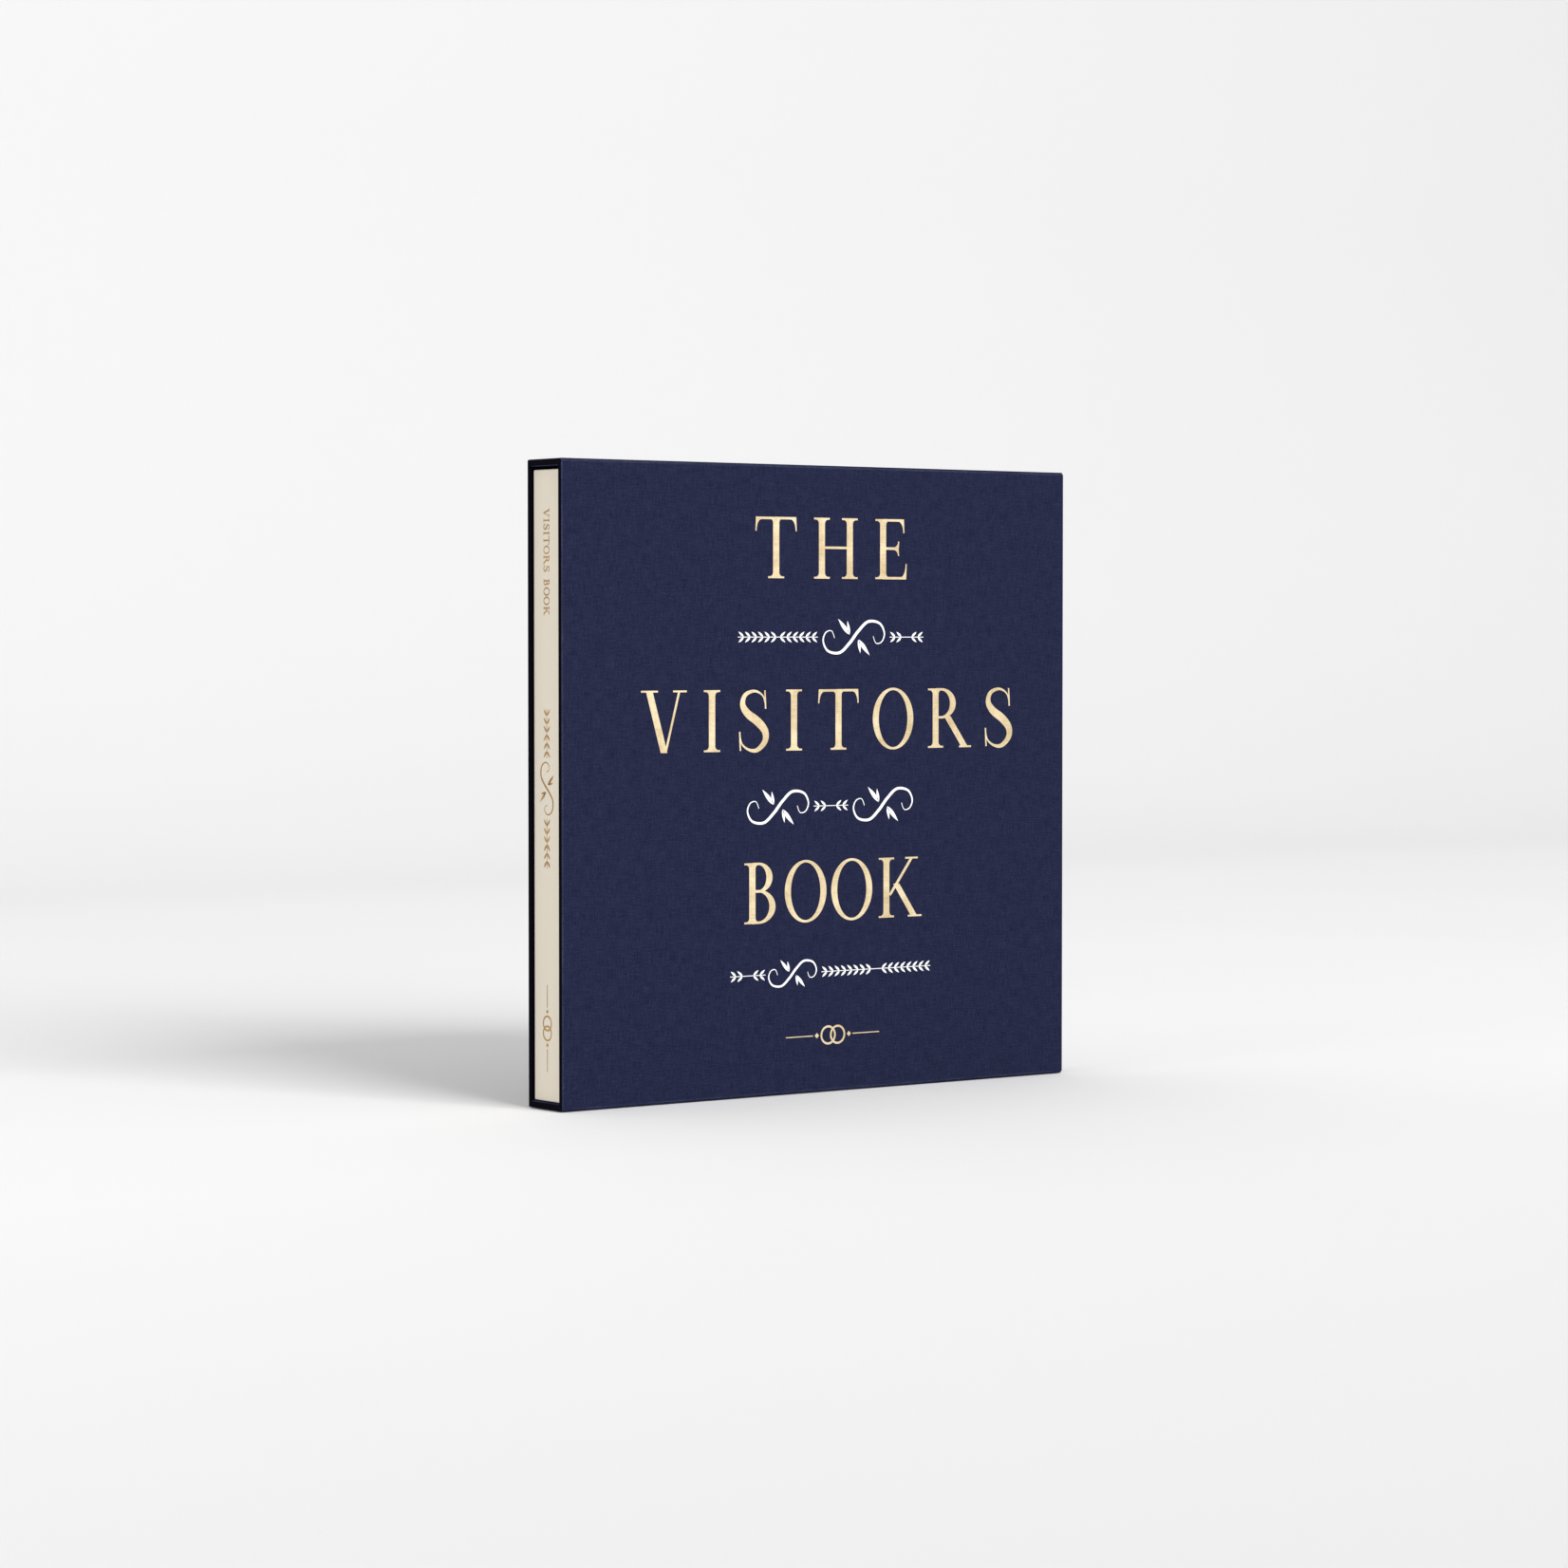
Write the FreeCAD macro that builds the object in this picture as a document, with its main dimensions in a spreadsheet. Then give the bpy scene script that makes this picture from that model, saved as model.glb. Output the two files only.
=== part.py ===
import FreeCAD, Part
import os

import Sketcher

# A wedding guest book in its slipcase, standing upright.
# The slipcase is a five-sided box of greyboard, covered outside with navy book cloth, lined inside
# with paper, and open on its left side. The book inside is a square-backed case binding: two cover
# boards and a spine board in one piece of cream book cloth, round ten sewn signatures.
# Millimetres. X runs along the width, with the open mouth at -X. Y runs through the thickness, with
# the front at -Y. Z is up. The origin is the middle of the underside.

SIZES = [
    # name, value, meaning
    ("page_width", 250.0, "leaf, from its fold to its fore edge"),
    ("page_height", 246.5, "leaf, from tail to head"),
    ("signature_thickness", 1.29, "eight leaves folded together"),
    ("signature_count", 10, "folded sections in the text block"),
    ("fold_round", 0.6, "rounding of a signature at its fold"),
    ("square", 3.0, "how far the covers stand past the leaves"),
    ("cover_board", 2.0, "greyboard of the two covers"),
    ("spine_board", 2.0, "greyboard of the spine"),
    ("book_cloth", 0.3, "cream cloth"),
    ("joint_width", 7.0, "gap between the spine board and a cover board"),
    ("joint_depth", 1.8, "how far the cloth dips in that gap"),
    ("book_turn_in", 15.0, "cream cloth folded onto the inside of the boards"),
    ("endpaper", 0.3, "pastedown and fly leaf together"),
    ("thread", 0.4, "sewing thread"),
    ("thread_stations", 5, "places where the thread crosses the folds"),
    ("mull", 0.25, "open cotton gauze glued over the folds"),
    ("mull_flange", 25.0, "gauze that reaches onto each cover"),
    ("mull_setback", 20.0, "gauze stops this far from the head and the tail"),
    ("spine_liner", 0.25, "paper strip glued on the gauze"),
    ("liner_setback", 1.0, "liner stops this far from the head and the tail"),
    ("hollow", 0.6, "air between the liner and the spine board"),
    ("headband_round", 0.7, "radius of the headband's bead"),
    ("headband_tape", 12.0, "tape below the bead, glued to the folds"),
    ("case_board", 2.0, "greyboard of the slipcase"),
    ("case_cloth", 0.3, "navy cloth"),
    ("case_lining", 0.15, "paper inside the slipcase"),
    ("mouth_turn_in", 15.0, "navy cloth folded into the mouth"),
    ("edge_turn_in", 9.0, "navy cloth folded over the top and the bottom"),
    ("strip_setback", 0.6, "top and bottom cloth strips stop this far from the edge"),
    ("edge_round", 0.7, "rounding of the boards at the closed end"),
    ("mouth_recess", 1.3, "spine lies this far inside the mouth"),
    ("side_clearance", 0.25, "book to slipcase, each side"),
    ("tail_clearance", 0.35, "book to slipcase, below"),
    ("head_clearance", 1.35, "book to slipcase, above"),
    ("end_clearance", 1.15, "book to slipcase, at the closed end"),
]

PLACES = [
    # half thicknesses, counted from the middle plane outwards
    ("text_half", "Sizes.signature_count * Sizes.signature_thickness / 2"),
    ("paper_half", "Places.text_half + Sizes.endpaper"),
    ("inside_half", "Places.paper_half + Sizes.book_cloth"),
    ("board_half", "Places.inside_half + Sizes.cover_board"),
    ("book_half", "Places.board_half + Sizes.book_cloth"),
    ("joint_half", "Places.book_half - Sizes.joint_depth - Sizes.book_cloth"),
    ("mouth_half", "Places.book_half + Sizes.side_clearance"),
    ("cavity_half", "Places.mouth_half + Sizes.case_cloth"),
    ("shell_half", "Places.cavity_half + Sizes.case_board"),
    ("case_half", "Places.shell_half + Sizes.case_cloth"),
    # stations along the width, counted from the spine of the book
    ("spine_stack", "2 * Sizes.book_cloth + Sizes.spine_board + Sizes.hollow"
                    " + Sizes.spine_liner + Sizes.mull + Sizes.thread"),
    ("book_width", "Places.spine_stack + Sizes.page_width + Sizes.square"),
    ("half_width", "(Sizes.mouth_recess + Places.book_width + Sizes.end_clearance"
                   " + Sizes.case_lining + Sizes.case_board + Sizes.case_cloth) / 2"),
    ("spine_x", "Sizes.mouth_recess - Places.half_width"),
    ("spine_in_x", "Places.spine_x + Sizes.book_cloth + Sizes.spine_board"),
    ("joint_x", "Places.spine_in_x + Sizes.joint_width"),
    ("fold_x", "Places.spine_x + Places.spine_stack"),
    ("thread_x", "Places.fold_x - Sizes.thread"),
    ("mull_x", "Places.thread_x - Sizes.mull"),
    ("liner_x", "Places.mull_x - Sizes.spine_liner"),
    ("page_x", "Places.fold_x + Sizes.page_width"),
    ("fore_x", "Places.page_x + Sizes.square"),
    ("end_x", "Places.half_width - Sizes.case_cloth"),
    ("cavity_x", "Places.end_x - Sizes.case_board"),
    ("mouth_x", "-Places.half_width"),
    ("rim_x", "Places.mouth_x + Sizes.case_cloth"),
    ("turn_x", "Places.mouth_x + Sizes.mouth_turn_in"),
    # heights
    ("skin_z", "Sizes.case_cloth"),
    ("shell_z", "2 * Sizes.case_cloth"),
    ("cavity_z", "Places.shell_z + Sizes.case_board"),
    ("floor_z", "Places.cavity_z + Sizes.case_cloth"),
    ("tail_z", "Places.floor_z + Sizes.tail_clearance"),
    ("page_z", "Places.tail_z + Sizes.square"),
    ("page_top", "Places.page_z + Sizes.page_height"),
    ("head_z", "Places.page_top + Sizes.square"),
    ("ceiling_z", "Places.head_z + Sizes.head_clearance"),
    ("cavity_top", "Places.ceiling_z + Sizes.case_cloth"),
    ("shell_top", "Places.cavity_top + Sizes.case_board"),
    ("skin_top", "Places.shell_top + Sizes.case_cloth"),
    ("case_top", "Places.skin_top + Sizes.case_cloth"),
]

NEAR = 1e-6
SPARE = "1"  # how far a cutting block runs past what it cuts

doc = FreeCAD.newDocument("guest_book")


def fill_sheet():
    sheet = doc.addObject("Spreadsheet::Sheet", "Sizes")
    for row, (name, value, meaning) in enumerate(SIZES, start=1):
        sheet.set(f"A{row}", name)
        sheet.set(f"B{row}", str(value))
        sheet.setAlias(f"B{row}", name)
        sheet.set(f"C{row}", meaning)
    doc.recompute()
    return sheet


def work_out_places():
    places = doc.addObject("App::VarSet", "Places")
    for name, text in PLACES:
        places.addProperty("App::PropertyFloat", name, "Places")
        places.setExpression(name, text.replace("Places.", ""))
    doc.recompute()
    return places


sizes = fill_sheet()
places = work_out_places()
parts = []


def value_of(text):
    """The present value of an expression on the sheet."""
    return float(places.evalExpression(text))


def new_part(label):
    body = doc.addObject("PartDesign::Body", label)
    body.Label = label
    parts.append(body)
    return body


def block(body, x, y, z, kind="Additive"):
    """A box from x[0] to x[1], y[0] to y[1] and z[0] to z[1], added to the body or cut from it."""
    box = body.newObject(f"PartDesign::{kind}Box", f"{body.Name}_block")
    for axis, side, (low, high) in zip("xyz", ("Length", "Width", "Height"), (x, y, z)):
        box.setExpression(side, f"({high}) - ({low})")
        box.setExpression(f"Placement.Base.{axis}", low)
    doc.recompute()
    return box


def cut(body, x, y, z):
    before = body.Shape.Volume
    box = block(body, x, y, z, kind="Subtractive")
    if body.Shape.Volume >= before:
        raise RuntimeError(f"{box.Name} cuts nothing")
    return box


def pad_outline(body, points, low, high):
    """A closed outline seen from above, drawn corner by corner and padded from low to high."""
    sketch = body.newObject("Sketcher::SketchObject", f"{body.Name}_outline")
    plane = next(f for f in body.Origin.OriginFeatures if f.Role == "XY_Plane")
    sketch.AttachmentSupport = [(plane, "")]
    sketch.MapMode = "FlatFace"
    sketch.setExpression("AttachmentOffset.Base.z", low)
    spots = [FreeCAD.Vector(value_of(x), value_of(y), 0) for x, y in points]
    for start, end in zip(spots, spots[1:] + spots[:1]):
        sketch.addGeometry(Part.LineSegment(start, end))
    for i, (x, y) in enumerate(points):
        following = (i + 1) % len(points)
        sketch.addConstraint(Sketcher.Constraint("Coincident", i, 2, following, 1))
        for kind, text, there in (("DistanceX", x, spots[i].x), ("DistanceY", y, spots[i].y)):
            number = sketch.addConstraint(Sketcher.Constraint(kind, -1, 1, i, 1, there))
            sketch.setExpression(f"Constraints[{number}]", text)
    pad = body.newObject("PartDesign::Pad", f"{body.Name}_pad")
    pad.Profile = sketch
    pad.setExpression("Length", f"({high}) - ({low})")
    sketch.Visibility = False
    doc.recompute()
    return pad


def round_upright_edges(body, x, half, radius):
    """Rounds the vertical edges that stand at x and at half either side of the middle plane."""
    base = body.Tip
    names = []
    for number, edge in enumerate(base.Shape.Edges, start=1):
        ends = [vertex.Point for vertex in edge.Vertexes]
        upright = len(ends) == 2 and (ends[0] - ends[1]).cross(FreeCAD.Vector(0, 0, 1)).Length < NEAR
        if not upright:
            continue
        if abs(ends[0].x - value_of(x)) < NEAR and abs(abs(ends[0].y) - value_of(half)) < NEAR:
            names.append(f"Edge{number}")
    if not names:
        raise RuntimeError(f"{body.Label} has no upright edge at {x}")
    fillet = body.newObject("PartDesign::Fillet", f"{body.Name}_round")
    fillet.Base = (base, names)
    fillet.setExpression("Radius", radius)
    doc.recompute()
    return fillet


def span(half):
    """From half in front of the middle plane to half behind it."""
    return (f"-({half})", half)


def side(inner, outer, sign):
    """A layer between two half thicknesses, on the front (-1) or the back (+1)."""
    return (f"-({outer})", f"-({inner})") if sign < 0 else (inner, outer)


SIDES = (("front", -1), ("back", 1))

# ---------------------------------------------------------------- slipcase


def case_side_boards():
    for name, sign in SIDES:
        board = new_part(f"case_{name}_board")
        block(board, ("Places.rim_x", "Places.end_x"),
              side("Places.cavity_half", "Places.shell_half", sign),
              ("Places.shell_z", "Places.shell_top"))
        round_upright_edges(board, "Places.end_x", "Places.shell_half", "Sizes.edge_round")


def case_inner_boards():
    end = new_part("case_end_board")
    block(end, ("Places.cavity_x", "Places.end_x"), span("Places.cavity_half"),
          ("Places.shell_z", "Places.shell_top"))
    for name, z in (("bottom", ("Places.shell_z", "Places.cavity_z")),
                    ("top", ("Places.cavity_top", "Places.shell_top"))):
        board = new_part(f"case_{name}_board")
        block(board, ("Places.rim_x", "Places.cavity_x"), span("Places.cavity_half"), z)


def case_wrap_cloth():
    """One piece of cloth round the front, the closed end and the back, folded in at the mouth and
    over the top and the bottom."""
    wrap = new_part("case_wrap_cloth")
    front = [
        ("Places.turn_x", "-Places.mouth_half"), ("Places.mouth_x", "-Places.mouth_half"),
        ("Places.mouth_x", "-Places.case_half"), ("Places.half_width", "-Places.case_half"),
    ]
    inside = [
        ("Places.end_x", "-Places.shell_half"), ("Places.rim_x", "-Places.shell_half"),
        ("Places.rim_x", "-Places.cavity_half"), ("Places.turn_x", "-Places.cavity_half"),
    ]

    def turned(points):
        return [(x, y[1:]) for x, y in reversed(points)]

    pad_outline(wrap, front + turned(front) + turned(inside) + inside,
                "Places.skin_z", "Places.skin_top")
    past_mouth = (f"Places.mouth_x - {SPARE}", f"Places.turn_x + {SPARE}")
    cut(wrap, past_mouth, span("Places.cavity_half"), ("0", "Places.floor_z"))
    cut(wrap, past_mouth, span("Places.cavity_half"), ("Places.ceiling_z", "Places.case_top"))
    slot = (f"Places.rim_x - {SPARE}", "Places.half_width - Sizes.edge_turn_in")
    for z in (("Places.skin_z", "Places.shell_z"), ("Places.shell_top", "Places.skin_top")):
        block(wrap, ("Places.rim_x", "Places.half_width"), span("Places.case_half"), z)
        cut(wrap, slot, span("Places.case_half - Sizes.edge_turn_in"), z)
    round_upright_edges(wrap, "Places.half_width", "Places.case_half",
                        "Sizes.edge_round + Sizes.case_cloth")
    round_upright_edges(wrap, "Places.end_x", "Places.shell_half", "Sizes.edge_round")


def case_strip_cloths():
    """A strip of cloth on the bottom and one on the top, each folded into the mouth."""
    layers = {
        "bottom": (("0", "Places.skin_z"), ("0", "Places.floor_z"), ("Places.cavity_z", "Places.floor_z")),
        "top": (("Places.skin_top", "Places.case_top"), ("Places.ceiling_z", "Places.case_top"),
                ("Places.ceiling_z", "Places.cavity_top")),
    }
    for name, (outside, rim, inside) in layers.items():
        strip = new_part(f"case_{name}_cloth")
        block(strip, ("Places.mouth_x", "Places.half_width - Sizes.strip_setback"),
              span("Places.case_half - Sizes.strip_setback"), outside)
        block(strip, ("Places.mouth_x", "Places.rim_x"), span("Places.cavity_half"), rim)
        block(strip, ("Places.mouth_x", "Places.turn_x"), span("Places.cavity_half"), inside)


def case_linings():
    """Paper inside the slipcase, from the folded-in cloth to the closed end."""
    for name, z in (("bottom", ("Places.cavity_z", "Places.cavity_z + Sizes.case_lining")),
                    ("top", ("Places.cavity_top - Sizes.case_lining", "Places.cavity_top"))):
        sheet = new_part(f"case_{name}_lining")
        block(sheet, ("Places.turn_x", "Places.cavity_x"), span("Places.cavity_half"), z)
    wrap = new_part("case_side_lining")
    inner_half = "Places.cavity_half - Sizes.case_lining"
    inner_x = "Places.cavity_x - Sizes.case_lining"
    pad_outline(wrap, [
        ("Places.turn_x", "-Places.cavity_half"), ("Places.cavity_x", "-Places.cavity_half"),
        ("Places.cavity_x", "Places.cavity_half"), ("Places.turn_x", "Places.cavity_half"),
        ("Places.turn_x", inner_half), (inner_x, inner_half),
        (inner_x, f"-({inner_half})"), ("Places.turn_x", f"-({inner_half})"),
    ], "Places.cavity_z + Sizes.case_lining", "Places.cavity_top - Sizes.case_lining")


# ---------------------------------------------------------------- book covers


def cover_boards():
    z = ("Places.tail_z + Sizes.book_cloth", "Places.head_z - Sizes.book_cloth")
    for name, sign in SIDES:
        board = new_part(f"{name}_cover_board")
        block(board, ("Places.joint_x", "Places.fore_x - Sizes.book_cloth"),
              side("Places.inside_half", "Places.board_half", sign), z)
    spine = new_part("spine_board")
    block(spine, ("Places.spine_x + Sizes.book_cloth", "Places.spine_in_x"),
          span("Places.board_half"), z)


def cover_cloth():
    """One piece of cloth round both covers and the spine. It dips in the joints, and its edges are
    folded onto the inside of the boards."""
    cloth = new_part("cover_cloth")
    fold_x = "Places.fore_x - Sizes.book_turn_in"
    board_x = "Places.fore_x - Sizes.book_cloth"
    back_x = "Places.spine_x + Sizes.book_cloth"
    dip_low_x = "Places.spine_in_x + Sizes.book_cloth"
    dip_high_x = "Places.joint_x - Sizes.book_cloth"
    outside = [
        (fold_x, "-Places.paper_half"), ("Places.fore_x", "-Places.paper_half"),
        ("Places.fore_x", "-Places.book_half"), (dip_high_x, "-Places.book_half"),
        (dip_high_x, "-(Places.joint_half + Sizes.book_cloth)"),
        (dip_low_x, "-(Places.joint_half + Sizes.book_cloth)"),
        (dip_low_x, "-Places.book_half"), ("Places.spine_x", "-Places.book_half"),
    ]
    inside = [
        (back_x, "-Places.board_half"), ("Places.spine_in_x", "-Places.board_half"),
        ("Places.spine_in_x", "-Places.joint_half"), ("Places.joint_x", "-Places.joint_half"),
        ("Places.joint_x", "-Places.board_half"), (board_x, "-Places.board_half"),
        (board_x, "-Places.inside_half"), (fold_x, "-Places.inside_half"),
    ]

    def turned(points):
        return [(x, y[1:]) for x, y in reversed(points)]

    pad_outline(cloth, outside + turned(outside) + turned(inside) + inside,
                "Places.tail_z", "Places.head_z")
    edges = (
        (("Places.tail_z", "Places.tail_z + Sizes.book_cloth"),
         ("Places.tail_z", "Places.tail_z + Sizes.book_turn_in")),
        (("Places.head_z - Sizes.book_cloth", "Places.head_z"),
         ("Places.head_z - Sizes.book_turn_in", "Places.head_z")),
    )
    for cap, fold in edges:
        block(cloth, (back_x, "Places.spine_in_x"), span("Places.board_half"), cap)
        block(cloth, ("Places.spine_in_x", dip_low_x), span("Places.joint_half"), fold)
        for _, sign in SIDES:
            block(cloth, ("Places.joint_x", board_x),
                  side("Places.inside_half", "Places.board_half", sign), cap)
            block(cloth, ("Places.joint_x", "Places.fore_x"),
                  side("Places.paper_half", "Places.inside_half", sign), fold)
            block(cloth, ("Places.spine_in_x", "Places.joint_x"),
                  side("Places.joint_half - Sizes.book_cloth", "Places.joint_half", sign), fold)


# ---------------------------------------------------------------- text block


def signatures():
    low, high = "Places.page_z", "Places.page_top"
    for number in range(int(sizes.get("signature_count"))):
        section = new_part(f"signature_{number + 1:02d}")
        start = f"{number} * Sizes.signature_thickness - Places.text_half"
        block(section, ("Places.fold_x", "Places.page_x"),
              (start, f"{start} + Sizes.signature_thickness"), (low, high))
        base = section.Tip
        folds = [f"Edge{n}" for n, edge in enumerate(base.Shape.Edges, start=1)
                 if edge.BoundBox.ZLength > edge.BoundBox.YLength + edge.BoundBox.XLength
                 and abs(edge.BoundBox.XMin - value_of("Places.fold_x")) < NEAR]
        fillet = section.newObject("PartDesign::Fillet", f"{section.Name}_fold")
        fillet.Base = (base, folds)
        fillet.setExpression("Radius", "min(Sizes.fold_round; 0.48 * Sizes.signature_thickness)")
        doc.recompute()


def endpapers():
    for name, sign in SIDES:
        paper = new_part(f"{name}_endpaper")
        block(paper, ("Places.fold_x", "Places.page_x"),
              side("Places.text_half", "Places.paper_half", sign), ("Places.page_z", "Places.page_top"))


def spine_mull():
    """Open gauze round the folds, with a flange onto the inside of each cover."""
    mull = new_part("spine_mull")
    flange_x = "Places.fold_x + Sizes.mull_flange"
    outer = "Places.paper_half + Sizes.mull"
    pad_outline(mull, [
        (flange_x, f"-({outer})"), (flange_x, "-Places.paper_half"),
        ("Places.thread_x", "-Places.paper_half"), ("Places.thread_x", "Places.paper_half"),
        (flange_x, "Places.paper_half"), (flange_x, outer),
        ("Places.mull_x", outer), ("Places.mull_x", f"-({outer})"),
    ], "Places.page_z + Sizes.mull_setback", "Places.page_top - Sizes.mull_setback")


def spine_liner():
    liner = new_part("spine_liner")
    block(liner, ("Places.liner_x", "Places.mull_x"), span("Places.text_half"),
          ("Places.page_z + Sizes.liner_setback", "Places.page_top - Sizes.liner_setback"))


def headbands():
    """A woven bead on a tape. The tape is glued to the folds and the bead stands on the leaves."""
    ends = {
        "tail": ("Places.page_z - Sizes.headband_round", "Places.page_z + Sizes.headband_tape",
                 "Places.page_z - Sizes.headband_round"),
        "head": ("Places.page_top - Sizes.headband_tape", "Places.page_top + Sizes.headband_round",
                 "Places.page_top + Sizes.headband_round"),
    }
    for name, (low, high, centre) in ends.items():
        band = new_part(f"{name}_headband")
        block(band, ("Places.thread_x", "Places.fold_x"), span("Places.text_half"), (low, high))
        bead = band.newObject("PartDesign::AdditiveCylinder", f"{band.Name}_bead")
        bead.Placement = FreeCAD.Placement(FreeCAD.Vector(), FreeCAD.Rotation(FreeCAD.Vector(1, 0, 0), -90))
        bead.setExpression("Radius", "Sizes.headband_round")
        bead.setExpression("Height", "2 * Places.text_half")
        bead.setExpression("Placement.Base.x", "Places.thread_x + Sizes.headband_round")
        bead.setExpression("Placement.Base.y", "-Places.text_half")
        bead.setExpression("Placement.Base.z", centre)
        doc.recompute()


def sewing_thread():
    """The thread shows on the back of the folds where it crosses from one signature to the next."""
    strands = []
    stations = int(sizes.get("thread_stations"))
    first = "Places.page_z + Sizes.mull_setback + Sizes.thread"
    last = "Places.page_top - Sizes.mull_setback - Sizes.thread"
    reach = "Places.text_half - Sizes.signature_thickness / 2"
    for number in range(stations):
        strand = doc.addObject("Part::Cylinder", f"thread_strand_{number + 1}")
        strand.Placement = FreeCAD.Placement(FreeCAD.Vector(), FreeCAD.Rotation(FreeCAD.Vector(1, 0, 0), -90))
        strand.setExpression("Radius", "Sizes.thread / 2")
        strand.setExpression("Height", f"2 * ({reach})")
        strand.setExpression("Placement.Base.x", "Places.fold_x - Sizes.thread / 2")
        strand.setExpression("Placement.Base.y", f"-({reach})")
        strand.setExpression("Placement.Base.z",
                             f"{first} + (({last}) - ({first})) * {number} / (Sizes.thread_stations - 1)")
        strands.append(strand)
    group = doc.addObject("Part::Compound", "sewing_thread")
    group.Label = "sewing_thread"
    group.Links = strands
    parts.append(group)


for make in (case_side_boards, case_inner_boards, case_wrap_cloth, case_strip_cloths, case_linings,
             cover_boards, cover_cloth, signatures, endpapers, spine_mull, spine_liner, headbands,
             sewing_thread):
    make()
doc.recompute()


def check_and_export():
    broken = [o.Label for o in doc.Objects if "Invalid" in o.State or "Error" in o.State]
    if broken:
        raise RuntimeError(f"not rebuilt: {broken}")
    for part in parts:
        if part.Shape.isNull() or not part.Shape.isValid() or not part.Shape.Solids:
            raise RuntimeError(f"{part.Label} has no valid solid")
    os.makedirs("parts", exist_ok=True)
    for part in parts:
        part.Shape.exportStep(os.path.join("parts", f"{part.Label}.step"))
        print(f"{part.Label}: {len(part.Shape.Solids)} solid, {part.Shape.Volume:.1f} mm3")
    print(f"slipcase {2 * places.half_width:.2f} x {2 * places.case_half:.2f} x {places.case_top:.2f}")


check_and_export()
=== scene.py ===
# %% [markdown]
# # A guest book in its slipcase
# This lesson builds a square, cloth-bound guest book that stands in a cloth-covered slipcase.
# The boards, linings, gauze and sewing thread come from the CAD frame. Cloth, leaves, headbands and
# foil are modelled here around them, in metres and in the same place.

# %% Load the frame
import math
import random

import bmesh
import bpy
from mathutils import Matrix, Vector


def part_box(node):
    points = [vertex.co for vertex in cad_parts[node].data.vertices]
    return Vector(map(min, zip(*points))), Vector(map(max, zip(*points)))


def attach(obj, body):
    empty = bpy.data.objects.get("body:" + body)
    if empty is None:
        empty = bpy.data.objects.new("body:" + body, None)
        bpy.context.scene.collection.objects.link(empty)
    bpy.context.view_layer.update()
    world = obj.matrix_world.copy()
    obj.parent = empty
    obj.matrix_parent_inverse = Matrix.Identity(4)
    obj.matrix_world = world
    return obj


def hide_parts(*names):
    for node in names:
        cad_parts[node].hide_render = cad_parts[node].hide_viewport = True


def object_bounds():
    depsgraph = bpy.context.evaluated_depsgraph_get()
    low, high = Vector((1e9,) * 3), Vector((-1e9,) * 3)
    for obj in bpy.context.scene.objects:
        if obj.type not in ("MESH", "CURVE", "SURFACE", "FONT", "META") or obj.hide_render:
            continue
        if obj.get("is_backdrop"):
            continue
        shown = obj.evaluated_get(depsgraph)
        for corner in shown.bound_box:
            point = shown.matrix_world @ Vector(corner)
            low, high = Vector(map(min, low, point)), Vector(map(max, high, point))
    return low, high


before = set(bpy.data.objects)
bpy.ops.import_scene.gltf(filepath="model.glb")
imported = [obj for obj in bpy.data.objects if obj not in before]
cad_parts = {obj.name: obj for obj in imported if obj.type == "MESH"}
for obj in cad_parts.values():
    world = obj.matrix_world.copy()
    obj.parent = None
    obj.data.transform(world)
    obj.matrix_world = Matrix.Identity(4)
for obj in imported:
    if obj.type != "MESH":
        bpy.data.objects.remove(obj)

MM = 0.001
cad_box = [list(corner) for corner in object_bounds()]
print("nodes", len(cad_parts), "box", [[round(v, 4) for v in corner] for corner in cad_box])

# %% [markdown]
# Every size below is read from the frame, so a case of another size would get cloth that fits it.
# Book cloth is about 0.3 mm thick, and a binder folds 15 mm of it onto the inside of a board.

# %% Places that the pieces share
wrap_low, wrap_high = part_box("case_wrap_cloth")
strip_low, strip_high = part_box("case_top_cloth")
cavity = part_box("case_bottom_board")
front_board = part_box("front_cover_board")
spine_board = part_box("spine_board")
cover_low, cover_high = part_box("cover_cloth")
page_low, page_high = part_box("signature_01")
top_of_case = cad_box[1][2]

CLOTH = 0.3 * MM
MOUTH_FOLD = 15 * MM
EDGE_FOLD = 9 * MM
COVER_FOLD = 15 * MM

mouth_x = wrap_low.x
closed_x = wrap_high.x
case_half = wrap_high.y
rim = case_half - cavity[1].y + CLOTH
floor_z = cavity[1].z + CLOTH
ceiling_z = strip_low.z
joint_x = front_board[0].x
spine_in_x = spine_board[1].x
board_depth = front_board[1].y - front_board[0].y + 2 * CLOTH
print("rim", round(rim / MM, 2), "mm; cover", round(board_depth / MM, 2), "mm")

# %% [markdown]
# Modelling by hand is: add a primitive, go into edit mode, pick a few edges or faces, and use an
# operator on them. These helpers do the picking. Everything is dropped first, and what is wanted is
# found by its place or by the way it faces.

# %% Helpers for modelling
SLACK = 0.01 * MM
SAME_POINT = 0.001 * MM
RIM_REACH = 20 * MM


def drop_selection():
    if bpy.context.object and bpy.context.object.mode != "OBJECT":
        bpy.ops.object.mode_set(mode="OBJECT")
    bpy.ops.object.select_all(action="DESELECT")


def choose(piece):
    """Makes the piece the only one selected, and the active one."""
    drop_selection()
    piece.select_set(True)
    bpy.context.view_layer.objects.active = piece


def rename(piece, name):
    piece.name = name
    piece.data.name = name
    return piece


def settle(name):
    """Names the new primitive and moves its place into its mesh."""
    piece = rename(bpy.context.active_object, name)
    bpy.ops.object.transform_apply(location=True, rotation=True, scale=True)
    return piece


def add_box(name, low, high):
    drop_selection()
    low, high = Vector(low), Vector(high)
    bpy.ops.mesh.primitive_cube_add(size=1, location=(low + high) / 2)
    bpy.context.active_object.scale = high - low
    return settle(name)


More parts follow.
